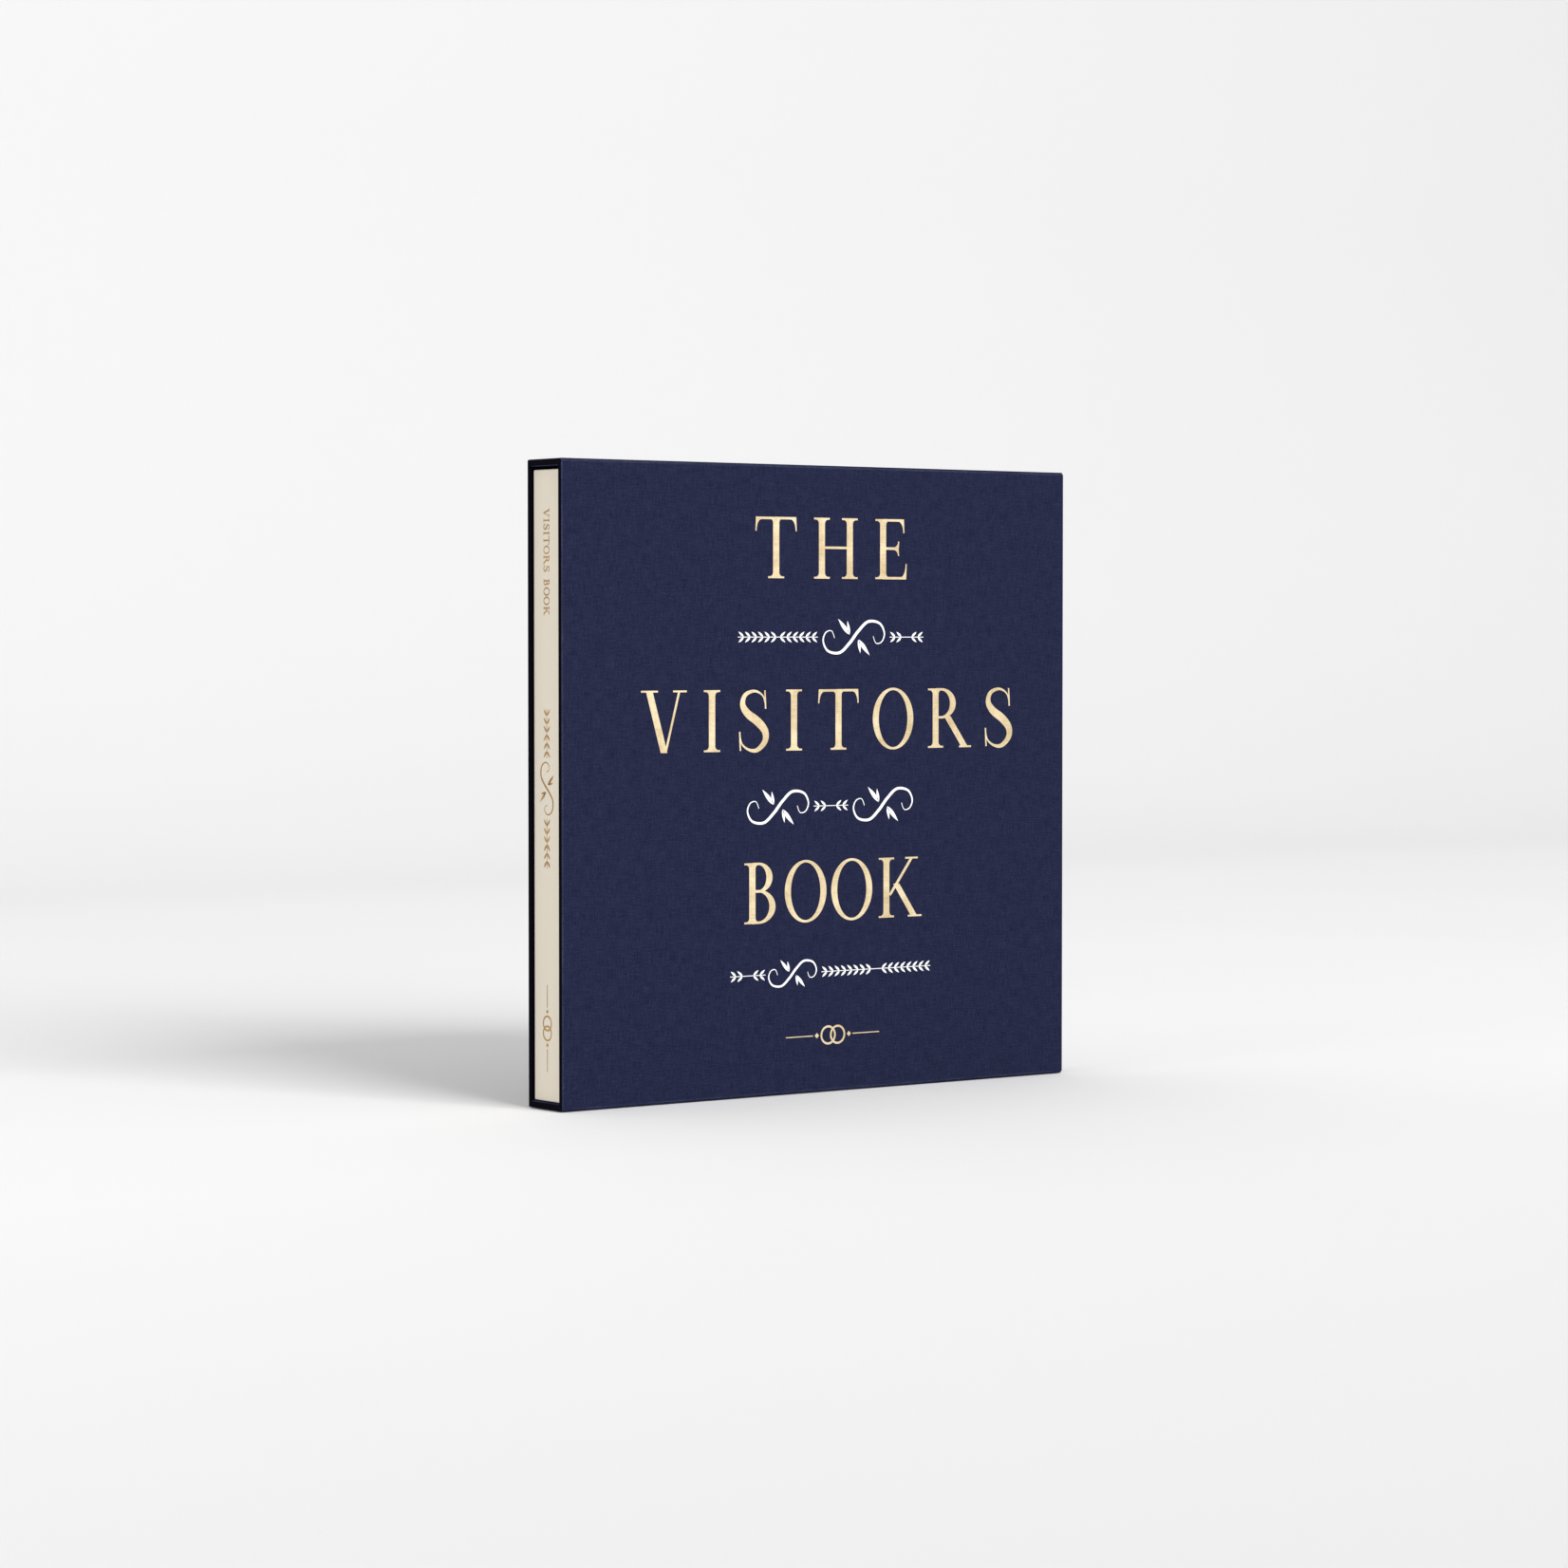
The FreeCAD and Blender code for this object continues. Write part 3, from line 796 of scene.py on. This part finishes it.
LINES = {
    "foil_line_upper": (189 * MM, ((sprig, -44, -3), (scroll, -1, 33), (sprig, 35, 53))),
    "foil_line_middle": (119 * MM, ((scroll, -40, -7), (sprig, -5, 13), (scroll, 15, 48))),
    "foil_line_lower": (50 * MM, ((sprig, -48, -30), (scroll, -29, -3), (sprig, -1, 57))),
}
foil_white = []
for name, (line_z, parts) in LINES.items():
    piece = put_on_front(lay_line(parts), name, 0, line_z)
    foil_white.append(piece)
    tell(piece)

# %% [markdown]
# At the foot is a small sign of two linked rings between two rules, as on many wedding cards. The
# spine carries the same shapes, small, and reads from the head down.

# %% Linked rings and the spine
RING_HOLE = 0.78
RING_AT = 0.62
RULE_GAP = 2.6
RULE = 0.4 * MM
LOZENGE_AT = 2.1
LOZENGE = 0.28
SPINE_BOLDER = 0.048 * MM


def ring(x, size):
    outer, inner = (x, 0, size, size), (x, 0, size * RING_HOLE, size * RING_HOLE)
    return [crescent(outer, inner, 90, 272), crescent(outer, inner, 270, 452)]


def linked_rings(width, size):
    """Two rings that cross, with a rule and a lozenge on either side."""
    apart = RING_AT * size
    rings = unite([cast(s, 1) for s in ring(-apart, size) + ring(apart, size)])
    rule = width / 2 - RULE_GAP * size
    sides = []
    for side in (-1, 1):
        x = side * (width / 2 - rule / 2)
        sides.append(cast(level(x - rule / 2, x + rule / 2, -RULE / 2, RULE), 1))
        x, tip = side * LOZENGE_AT * size, LOZENGE * size
        sides.append(cast([(x - tip, 0), (x, -tip), (x + tip, 0), (x, tip)], 1))
    return join([rings, *sides], "rings")


SMALL_CAPITAL = 3.9 * MM
foil_gold.append(put_on_front(linked_rings(49 * MM, 4 * MM), "foil_rings", FOIL_X, 23.5 * MM))
spine_word = write("VISITORS BOOK", SMALL_CAPITAL, 0.1, bolder=SPINE_BOLDER)
spine_line = lay_line(((sprig, -32, -12), (scroll, -11, 11), (sprig, 12, 32)))
foil_spine = [
    put_on_spine(spine_word, "spine_foil_word", SMALL_CAPITAL / 2, 219 * MM),
    put_on_spine(spine_line, "spine_foil_line", 0, 128.5 * MM),
    put_on_spine(linked_rings(35 * MM, 3.2 * MM), "spine_foil_rings", 0, 32.5 * MM),
]
for piece in [foil_gold[-1], *foil_spine]:
    tell(piece)

# %% [markdown]
# ## Materials
# All finishes are made of numbers, so they have no picture files and stay sharp up close. Two short
# helpers build the trees: one adds a node and plugs in its inputs, the other places a group.

# %% Helpers for node trees


def feed(tree, socket, value):
    """Plugs a socket into another, or types a number or a colour into it."""
    if isinstance(value, bpy.types.NodeSocket):
        tree.links.new(value, socket)
    elif value is not None:
        socket.default_value = (*value, 1) if socket.type == "RGBA" else value


def add(tree, kind, *inputs, **settings):
    """Adds a shader node. Its inputs, in order, are numbers, colours or sockets of earlier nodes."""
    node = tree.nodes.new("ShaderNode" + kind)
    for name, value in settings.items():
        setattr(node, name, value)
    for socket, value in zip(node.inputs, inputs):
        feed(tree, socket, value)
    return node


def calc(tree, operation, *values):
    return add(tree, "Math", *values, operation=operation).outputs[0]


def times(tree, first, second):
    return calc(tree, "MULTIPLY", first, second)


def move(tree, operation, first, second):
    return add(tree, "VectorMath", first, second, operation=operation).outputs[0]


def own_places(tree):
    """Where a point is on its own piece, in metres."""
    return add(tree, "TexCoord").outputs["Object"]


def blend_colours(tree, share, first, second):
    node = add(tree, "Mix", data_type="RGBA")
    for index, value in ((0, share), (6, first), (7, second)):
        feed(tree, node.inputs[index], value)
    return node.outputs[2]


def between(tree, value, low, high):
    """0 where the value is at or below low, 1 at or above high."""
    return add(tree, "MapRange", value, low, high).outputs[0]


def noise(tree, vector, scale, detail=2.0):
    return add(tree, "TexNoise", vector, None, scale, detail).outputs[0]


def stretch(tree, vector, size):
    """The vector divided by a size, so that one unit of it is that size on the piece."""
    return move(tree, "MULTIPLY", vector, [1 / v for v in size])


def make_group(name, inputs, outputs):
    """A node group and its two end nodes. Inputs are (name, type, value)."""
    group = bpy.data.node_groups.new(name, "ShaderNodeTree")
    for label, kind, value in inputs:
        socket = group.interface.new_socket(label, in_out="INPUT", socket_type="NodeSocket" + kind)
        if value is not None:
            socket.default_value = value
    for label in outputs:
        group.interface.new_socket(label, in_out="OUTPUT", socket_type="NodeSocketFloat")
    start, end = group.nodes.new("NodeGroupInput"), group.nodes.new("NodeGroupOutput")
    return group, start.outputs, end.inputs


def use_group(tree, group, *inputs):
    node = tree.nodes.new("ShaderNodeGroup")
    node.node_tree = group
    for socket, value in zip(node.inputs, inputs):
        feed(tree, socket, value)
    return node.outputs


# %% [markdown]
# Book cloth is a plain weave: every thread goes over one and under the next. In the square of a
# crossing, one thread is on top, and in the next square the other one. The yarn is uneven, and some
# threads run thick for a stretch. Those slubs are noise that is stretched along the thread, and they
# are what the eye sees from further off.

# %% Woven cloth group
CASE_PITCH, COVER_PITCH, GAUZE_PITCH = 0.42 * MM, 0.38 * MM, 0.9 * MM
WOBBLE = 0.12 * MM
SLUB_LONG, SLUB_THIN = 6 * MM, 0.5 * MM
CLOUD, CLOUD_WEIGHT = 5 * MM, 0.25
LINT_LONG, LINT_THIN = 0.5 * MM, 0.3 * MM

weave, given, put = make_group(
    "woven cloth",
    (("Vector", "Vector", None), ("Pitch", "Float", CASE_PITCH), ("Slub", "Float", 0.5)),
    ("Height", "Shade", "Gap", "Lint"))
laid, pitch = given["Vector"], given["Pitch"]
wobble = add(weave, "TexNoise", laid, None, 900.0, 1.0).outputs["Color"]
wobble = move(weave, "SUBTRACT", wobble, (0.5, 0.5, 0.5))
wobble = move(weave, "MULTIPLY", wobble, (WOBBLE, WOBBLE, WOBBLE))
parts = add(weave, "SeparateXYZ", move(weave, "ADD", laid, wobble)).outputs
across, upward = calc(weave, "DIVIDE", parts[0], pitch), calc(weave, "DIVIDE", parts[1], pitch)
squares = calc(weave, "ADD", calc(weave, "FLOOR", across), calc(weave, "FLOOR", upward))
over = calc(weave, "MULTIPLY_ADD", calc(weave, "FLOORED_MODULO", squares, 2.0), 2.0, -1.0)
swell_x = calc(weave, "SINE", times(weave, calc(weave, "FRACT", across), math.pi))
swell_y = calc(weave, "SINE", times(weave, calc(weave, "FRACT", upward), math.pi))
rise = calc(weave, "MULTIPLY_ADD", times(weave, over, swell_y), 0.5, 0.5)
fall = calc(weave, "MULTIPLY_ADD", times(weave, over, swell_x), -0.5, 0.5)
upright, lying = times(weave, swell_x, rise), times(weave, swell_y, fall)
threads = calc(weave, "MAXIMUM", upright, lying)
slub_up = noise(weave, stretch(weave, laid, (SLUB_THIN, SLUB_LONG, MM)), 1.0)
slub_along = noise(weave, stretch(weave, laid, (SLUB_LONG, SLUB_THIN, MM)), 1.0)
on_top = between(weave, calc(weave, "SUBTRACT", upright, lying), -0.15, 0.15)
slubs = calc(weave, "ADD", times(weave, slub_up, on_top),
             times(weave, slub_along, calc(weave, "SUBTRACT", 1.0, on_top)))
cloud = noise(weave, stretch(weave, laid, (CLOUD, CLOUD, CLOUD)), 1.0, 3.0)
cloud = times(weave, calc(weave, "SUBTRACT", cloud, 0.5), CLOUD_WEIGHT)
shade = calc(weave, "ADD", slubs, cloud)
feed(weave, put["Height"], calc(weave, "ADD", threads, times(weave, slubs, given["Slub"])))
feed(weave, put["Shade"], between(weave, shade, 0.32, 0.68))
feed(weave, put["Gap"], between(weave, threads, 0.32, 0.05))
lint = noise(weave, stretch(weave, laid, (LINT_LONG, LINT_THIN, MM)), 1.0, 1.0)
feed(weave, put["Lint"], between(weave, lint, 0.64, 0.7))
print("group", weave.name, len(weave.nodes), "nodes")

# %% [markdown]
# Cloth rubs light where it goes round an edge, and that lighter colour is also a painted highlight.
# The faces of those edges are marked on the piece, and noise breaks the mark up, so that the wear and
# the highlight come and go. The faces at the mouth have a mark of their own, for a flat painted tone:
# shade on the rim of the case, light on the spine of the book. Paper and board share a group of
# fibres and flecks.

# %% Wear, painted light and fibre groups
wear_and_painted_light, given, put = make_group("edge wear and painted light", (("Vector", "Vector", None), ("Amount", "Float", 0.5)),
                              ("Mask", "Rim shade and spine light"))
# The first mask is wear and a painted highlight, the second a painted tone at the mouth.
marked = add(wear_and_painted_light, "Attribute", attribute_name="wear_and_highlight").outputs["Fac"]
fine = noise(wear_and_painted_light, given["Vector"], 2200.0)
broad = noise(wear_and_painted_light, given["Vector"], 60.0)
broken = times(wear_and_painted_light, between(wear_and_painted_light, fine, 0.35, 0.65), between(wear_and_painted_light, broad, 0.2, 0.6))
feed(wear_and_painted_light, put["Rim shade and spine light"], add(wear_and_painted_light, "Attribute", attribute_name="rim_shade_and_spine_light").outputs["Fac"])
feed(wear_and_painted_light, put["Mask"], times(wear_and_painted_light, times(wear_and_painted_light, marked, broken), given["Amount"]))

fibre, given, put = make_group("paper fibre", (("Vector", "Vector", None), ("Size", "Float", MM)),
                               ("Fibre", "Fleck"))
sized = add(fibre, "VectorMath", given["Vector"], operation="SCALE")
feed(fibre, sized.inputs["Scale"], calc(fibre, "DIVIDE", 1.0, given["Size"]))
one_way = noise(fibre, stretch(fibre, sized.outputs[0], (1, 1, 5)), 2.0, 3.0)
other_way = noise(fibre, stretch(fibre, sized.outputs[0], (5, 1, 1)), 2.0, 3.0)
spots = add(fibre, "TexVoronoi", sized.outputs[0], None, 0.7).outputs["Distance"]
feed(fibre, put["Fibre"], times(fibre, calc(fibre, "ADD", one_way, other_way), 0.5))
feed(fibre, put["Fleck"], between(fibre, spots, 0.16, 0.05))
print("groups", wear_and_painted_light.name, fibre.name)

# %% [markdown]
# A material starts from the Principled shader. Its plain numbers are typed into the shader, and only
# what changes over the surface comes through a wire.

# %% Cloth
def start_material(name, **plain):
    material = bpy.data.materials.new(name)
    material.use_nodes = True
    tree = material.node_tree
    shader = tree.nodes["Principled BSDF"]
    for label, value in plain.items():
        shader.inputs[label.replace("_", " ")].default_value = value
    return material, tree, shader.inputs


def roughen(tree, shader, value, spread, least):
    feed(tree, shader["Roughness"], calc(tree, "MULTIPLY_ADD", value, spread, least))


def bump(tree, shader, height, strength, depth):
    node = add(tree, "Bump", strength, depth)
    feed(tree, node.inputs["Height"], height)
    feed(tree, shader["Normal"], node.outputs[0])


def cloth_material(name, dark, light, gap, lint_wear_and_highlight, rim_shade_and_spine_light, amount, pitch, relief, **plain):
    material, tree, shader = start_material(name, **plain)
    places = add(tree, "UVMap", uv_map="UVMap").outputs[0]
    cloth = use_group(tree, weave, places, pitch, 0.6)
    colour = blend_colours(tree, cloth["Shade"], dark, light)
    colour = blend_colours(tree, times(tree, cloth["Gap"], 0.55), colour, gap)
    colour = blend_colours(tree, times(tree, cloth["Lint"], 0.6), colour, lint_wear_and_highlight)
    use = use_group(tree, wear_and_painted_light, own_places(tree), amount)
    # Mouth faces take a flat painted tone: shade on the case's rim, light on the book's spine.
    colour = blend_colours(tree, use["Rim shade and spine light"], colour, rim_shade_and_spine_light)
    # Rounded edges take the rubbed colour, as wear and as a painted highlight.
    feed(tree, shader["Base Color"], blend_colours(tree, use["Mask"], colour, lint_wear_and_highlight))
    roughen(tree, shader, cloth["Shade"], 0.12, 0.76)
    bump(tree, shader, cloth["Height"], relief, 0.12 * MM)
    return material


# The mouth colour is painted shade on the navy rim; rubbed is lint, wear and a painted highlight.
navy_cloth = cloth_material(
    "navy book cloth", dark=(0.0072, 0.0091, 0.0284), light=(0.0176, 0.0205, 0.0505),
    gap=(0.003, 0.004, 0.011), lint_wear_and_highlight=(0.055, 0.06, 0.105), rim_shade_and_spine_light=(0.001, 0.0011, 0.003),
    amount=0.6, pitch=CASE_PITCH, relief=0.6, Specular_IOR_Level=0.03)
# On the cream cloth the mouth colour is a paler cream, painted light on the spine.
cream_cloth = cloth_material(
    "cream book cloth", dark=(0.458, 0.418, 0.34), light=(0.536, 0.5, 0.417),
    gap=(0.35, 0.3, 0.225), lint_wear_and_highlight=(0.7, 0.665, 0.595), rim_shade_and_spine_light=(0.56, 0.51, 0.425),
    amount=0.8, pitch=COVER_PITCH, relief=0.45, Specular_IOR_Level=0.2)

# %% [markdown]
# Foil is a thin metal skin pressed into the weave. It takes the bumps of the cloth, and in the gaps
# between threads it misses, so small dark points show. White foil is pigment and not metal.

# %% Foil
def foil_material(name, colour, deep, missed, metal, rough, axes):
    """axes turns the object's coordinates so that the first two lie in the face of the foil."""
    material, tree, shader = start_material(name, Specular_IOR_Level=0.5)
    places = add(tree, "Mapping", own_places(tree), None, axes).outputs[0]
    cloth = use_group(tree, weave, places, CASE_PITCH, 0.6)
    # Broad noise patches paint lighter and darker reflection into the tone of the foil.
    painted_reflection = between(tree, noise(tree, places, 110.0, 3.0), 0.3, 0.7)
    share = calc(tree, "MULTIPLY_ADD", painted_reflection, 0.55, times(tree, cloth["Shade"], 0.45))
    tone = blend_colours(tree, share, deep, colour)
    patch = times(tree, cloth["Gap"], between(tree, noise(tree, places, 500.0), 0.5, 0.62))
    feed(tree, shader["Base Color"], blend_colours(tree, patch, tone, missed))
    feed(tree, shader["Metallic"], times(tree, calc(tree, "SUBTRACT", 1.0, patch), metal))
    roughen(tree, shader, cloth["Shade"], -0.12, rough)
    bump(tree, shader, cloth["Height"], 0.35, 0.1 * MM)
    return material


FRONT_AXES, SPINE_AXES = (-math.pi / 2, 0, 0), (0, math.pi / 2, math.pi / 2)
gold_foil = foil_material("gold foil", (0.95, 0.82, 0.56), (0.56, 0.41, 0.21),
                          (0.03, 0.035, 0.08), metal=0.9, rough=0.5, axes=FRONT_AXES)
white_foil = foil_material("white foil", (0.88, 0.88, 0.88), (0.78, 0.79, 0.8),
                           (0.12, 0.13, 0.2), metal=0.0, rough=0.6, axes=FRONT_AXES)
copper_foil = foil_material("copper foil", (0.5, 0.3, 0.095), (0.24, 0.13, 0.035),
                            (0.6, 0.5, 0.4), metal=0.9, rough=0.4, axes=SPINE_AXES)
print("foils", gold_foil.name, white_foil.name, copper_foil.name)

# %% [markdown]
# Paper and board are pressed fibre. Greyboard is made of waste paper and has coarse, light and dark
# flecks. Page paper is smooth. The dark lining paper of the case is dyed through.

# %% Paper and board
def paper_material(name, dark, light, fleck, size, relief, flecks=0.5):
    material, tree, shader = start_material(name, Specular_IOR_Level=0.3)
    grain = use_group(tree, fibre, own_places(tree), size)
    tone = blend_colours(tree, between(tree, grain["Fibre"], 0.35, 0.65), dark, light)
    share = times(tree, grain["Fleck"], flecks)
    feed(tree, shader["Base Color"], blend_colours(tree, share, tone, fleck))
    roughen(tree, shader, grain["Fibre"], 0.1, 0.8)
    bump(tree, shader, grain["Fibre"], relief, 0.08 * MM)
    return material


greyboard = paper_material("greyboard", (0.21, 0.2, 0.185), (0.33, 0.315, 0.29),
                           (0.52, 0.5, 0.46), size=1.1 * MM, relief=0.5)
lining_paper = paper_material("dark lining paper", (0.008, 0.009, 0.017), (0.014, 0.016, 0.03),
                              (0.02, 0.022, 0.04), size=0.8 * MM, relief=0.3)
page_paper = paper_material("page paper", (0.76, 0.73, 0.66), (0.84, 0.82, 0.76),
                            (0.7, 0.66, 0.58), size=0.6 * MM, relief=0.15, flecks=0.2)
end_paper = paper_material("endpaper", (0.72, 0.68, 0.59), (0.8, 0.76, 0.68),
                           (0.62, 0.57, 0.48), size=0.9 * MM, relief=0.3, flecks=0.35)
liner_paper = paper_material("brown spine paper", (0.33, 0.21, 0.11), (0.43, 0.29, 0.16),
                             (0.5, 0.37, 0.23), size=MM, relief=0.3)

# %% [markdown]
# The gauze that is glued over the spine is a very open weave. Glue fills its holes, so they are
# painted dark and not cut out. The twist of the sewing thread is a wave that runs at a slant. The
# silk of the headbands changes colour every four windings.

# %% Gauze, thread and silk
STRIPE = 4


def gauze_material():
    material, tree, shader = start_material("spine gauze", Specular_IOR_Level=0.2)
    places = add(tree, "Mapping", own_places(tree), None, SPINE_AXES).outputs[0]
    cloth = use_group(tree, weave, places, GAUZE_PITCH, 0.2)
    tone = blend_colours(tree, cloth["Shade"], (0.62, 0.58, 0.5), (0.74, 0.7, 0.62))
    feed(tree, shader["Base Color"], blend_colours(tree, cloth["Gap"], tone, (0.3, 0.24, 0.17)))
    roughen(tree, shader, cloth["Gap"], -0.3, 0.9)
    bump(tree, shader, cloth["Height"], 0.8, 0.15 * MM)
    return material


def thread_material():
    material, tree, shader = start_material("linen thread", Specular_IOR_Level=0.4)
    places = stretch(tree, own_places(tree), (MM, MM, MM))
    twist = add(tree, "TexWave", places, 1.1, 0.6, 2.0, bands_direction="DIAGONAL").outputs["Fac"]
    tone = blend_colours(tree, twist, (0.5, 0.45, 0.36), (0.8, 0.76, 0.67))
    feed(tree, shader["Base Color"], tone)
    roughen(tree, shader, twist, 0.15, 0.6)
    bump(tree, shader, twist, 0.6, 0.08 * MM)
    return material


def silk_material():
    material, tree, shader = start_material("headband silk", Specular_IOR_Level=0.5,
                                            Sheen_Weight=0.3)
    places = own_places(tree)
    along_band = add(tree, "SeparateXYZ", places).outputs[1]
    count = calc(tree, "DIVIDE", along_band, STRIPE * WINDING)
    stripe = calc(tree, "FLOORED_MODULO", calc(tree, "FLOOR", count), 2.0)
    gleam = noise(tree, stretch(tree, places, (0.1 * MM, 0.6 * MM, 0.6 * MM)), 1.0)
    pale = blend_colours(tree, gleam, (0.75, 0.7, 0.6), (0.88, 0.84, 0.75))
    navy = blend_colours(tree, gleam, (0.02, 0.025, 0.07), (0.04, 0.05, 0.13))
    feed(tree, shader["Base Color"], blend_colours(tree, stripe, pale, navy))
    roughen(tree, shader, gleam, 0.2, 0.3)
    bump(tree, shader, gleam, 0.3, 0.05 * MM)
    return material


gauze, linen_thread, headband_silk = gauze_material(), thread_material(), silk_material()
print("materials", len(bpy.data.materials))

# %% [markdown]
# ## Putting it together
# Every piece rides on the slipcase or on the book, takes a finish, and hides the part of the frame
# that it stands for, where there is one. The boards, linings, gauze and thread of the frame have the
# right shape already, so they only get their finish.

# %% Finishes and bodies
def finish(piece, material, body, stands_for=()):
    piece.data.materials.clear()
    piece.data.materials.append(material)
    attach(piece, body)
    if stands_for:
        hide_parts(*stands_for)


for piece in (wrap, top_strip, bottom_strip, cover):
    smooth(piece)
    mark_wear_and_painted_light(piece)
    lay_thread_map(piece)
finish(wrap, navy_cloth, "slipcase", ["case_wrap_cloth"])
finish(top_strip, navy_cloth, "slipcase", ["case_top_cloth"])
finish(bottom_strip, navy_cloth, "slipcase", ["case_bottom_cloth"])
finish(cover, cream_cloth, "book", ["cover_cloth"])
for number, leaves in enumerate(signatures, 1):
    finish(leaves, page_paper, "book", [f"signature_{number:02d}"])
for paper, name in zip(endpapers, ("front_endpaper", "back_endpaper")):
    finish(paper, end_paper, "book", [name])
for band, name in zip(headbands, ("head_headband", "tail_headband")):
    finish(band, headband_silk, "book", [name])
for pieces, material, body in ((foil_gold, gold_foil, "slipcase"),
                               (foil_white, white_foil, "slipcase"),
                               (foil_spine, copper_foil, "book")):
    for piece in pieces:
        finish(piece, material, body)

FRAME_FINISH = {"cover_cloth": cream_cloth, "board": greyboard, "lining": lining_paper,
                "mull": gauze, "liner": liner_paper, "thread": linen_thread, "cloth": navy_cloth,
                "signature": page_paper, "endpaper": end_paper, "headband": headband_silk}
for name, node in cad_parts.items():
    kind = next(kind for kind in FRAME_FINISH if kind in name)
    for place in node.material_slots:
        place.material = FRAME_FINISH[kind]

# %% [markdown]
# The four cloths are sheets that were cut flat and folded round board. Their flat size is what the
# binder cuts: the sides, the edges and the turn-ins laid side by side.

# %% Flat sizes
case_long = closed_x - mouth_x
wrap_flat = (2 * (case_long + rim + MOUTH_FOLD) + 2 * case_half,
             wrap_high.z - wrap_low.z + 2 * EDGE_FOLD)
strip_flat = (strip_high.x - mouth_x + rim + MOUTH_FOLD, 2 * strip_high.y)
cover_flat = (2 * (cover_high.x - cover_low.x + board_depth + COVER_FOLD) + 2 * book_half,
              cover_high.z - cover_low.z + 2 * (board_depth + COVER_FOLD))
for name, flat in (("wrap", wrap_flat), ("strip", strip_flat), ("cover", cover_flat)):
    print(name, [round(v, 4) for v in flat])

# %% [markdown]
# ## Floor, light and camera
# The floor is one pale sheet that curves up behind, so there is no horizon. It lies a hair under the
# case, so that the two share no plane. A large soft lamp stands in front, to the camera's right, so
# the shadow falls softly back and to the left. A weaker one on the left reaches the spine, and white
# surroundings fill the rest, a little brighter to the camera than as light. The parts of the sheet
# that face the lamp or come near it are a shade darker, so the whole of it looks even.

# %% Floor
FLOOR_LOW, FLOOR_HIGH = Vector((-6, -9, -0.3 * MM)), Vector((6, 2.6, -0.3 * MM))
WALL_HEIGHT = 3.5
WALL_CURVE = 1.2
FLOOR_TONES, WALL_TONE, NEAR_TONE = (0.745, 0.765), 0.635, 0.62

floor = add_panel("studio_floor", FLOOR_LOW, FLOOR_HIGH)
edit(floor)
grow(lambda edge, m: near(m.y, FLOOR_HIGH.y, 1e-3), (0, 0, WALL_HEIGHT))
pick("EDGE", lambda edge, m: near(m.y, FLOOR_HIGH.y, 1e-3) and near(m.z, FLOOR_HIGH.z))
bpy.ops.mesh.bevel(offset=WALL_CURVE, segments=24, affect="EDGES")
done()
smooth(floor, 60)
floor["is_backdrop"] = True
floor_white, tree, shader = start_material("studio floor", Specular_IOR_Level=0.2)
dust = noise(tree, own_places(tree), 3.0)
pale = blend_colours(tree, dust, *[(tone,) * 3 for tone in FLOOR_TONES])
depth = add(tree, "SeparateXYZ", own_places(tree)).outputs[1]
pale = blend_colours(tree, between(tree, depth, 1.2, 2.5), pale, (WALL_TONE,) * 3)
pale = blend_colours(tree, between(tree, depth, -0.15, -0.9), pale, (NEAR_TONE,) * 3)
feed(tree, shader["Base Color"], pale)
roughen(tree, shader, dust, 0.1, 0.8)
floor.data.materials.append(floor_white)

# %% Light and camera
AIM = Vector((0, 0, 0.1))
AS_LIGHT, EXTRA_SEEN = 0.64, 0.24
CAMERA_AT = (-1.0896, -1.4336, 0.1884)
CAMERA_DOWN, CAMERA_TURN = 1.93, -36.95
FOCAL_LENGTH = 99.11


def add_lamp(name, place, size, power):
    lamp = bpy.data.lights.new(name, "AREA")
    lamp.shape, lamp.size, lamp.size_y, lamp.energy = "RECTANGLE", *size, power
    holder = bpy.data.objects.new(name, lamp)
    bpy.context.scene.collection.objects.link(holder)
    holder.location = place
    holder.rotation_euler = (AIM - Vector(place)).to_track_quat("-Z", "Y").to_euler()


add_lamp("key", place=(0.6, -7.6, 4.7), size=(5.0, 4.0), power=810)
add_lamp("fill", place=(-8.5, -0.8, 1.0), size=(3.0, 1.8), power=330)
world = bpy.data.worlds.new("studio")
world.use_nodes = True
tree = world.node_tree
background = tree.nodes["Background"].inputs
feed(tree, background["Color"], (1, 1, 1))
seen = add(tree, "LightPath").outputs["Is Camera Ray"]
feed(tree, background["Strength"], calc(tree, "MULTIPLY_ADD", seen, EXTRA_SEEN, AS_LIGHT))
bpy.context.scene.world = world
bpy.context.scene.view_settings.view_transform = "Standard"

lens = bpy.data.cameras.new("camera")
lens.lens, lens.sensor_width, lens.clip_start, lens.clip_end = FOCAL_LENGTH, 36, 0.05, 30
camera = bpy.data.objects.new("camera", lens)
bpy.context.scene.collection.objects.link(camera)
camera.location = CAMERA_AT
camera.rotation_euler = (math.radians(90 - CAMERA_DOWN), 0, math.radians(CAMERA_TURN))
bpy.context.scene.camera = camera

# %% [markdown]
# Last, the box of the frame and the box of what was modelled are written down side by side, to see
# that nothing grew.

# %% Sizes and finish
seen_box = [list(corner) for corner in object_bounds()]
for label, box in (("cad", cad_box), ("visual", seen_box)):
    print(label, [[round(v / MM, 2) for v in corner] for corner in box])
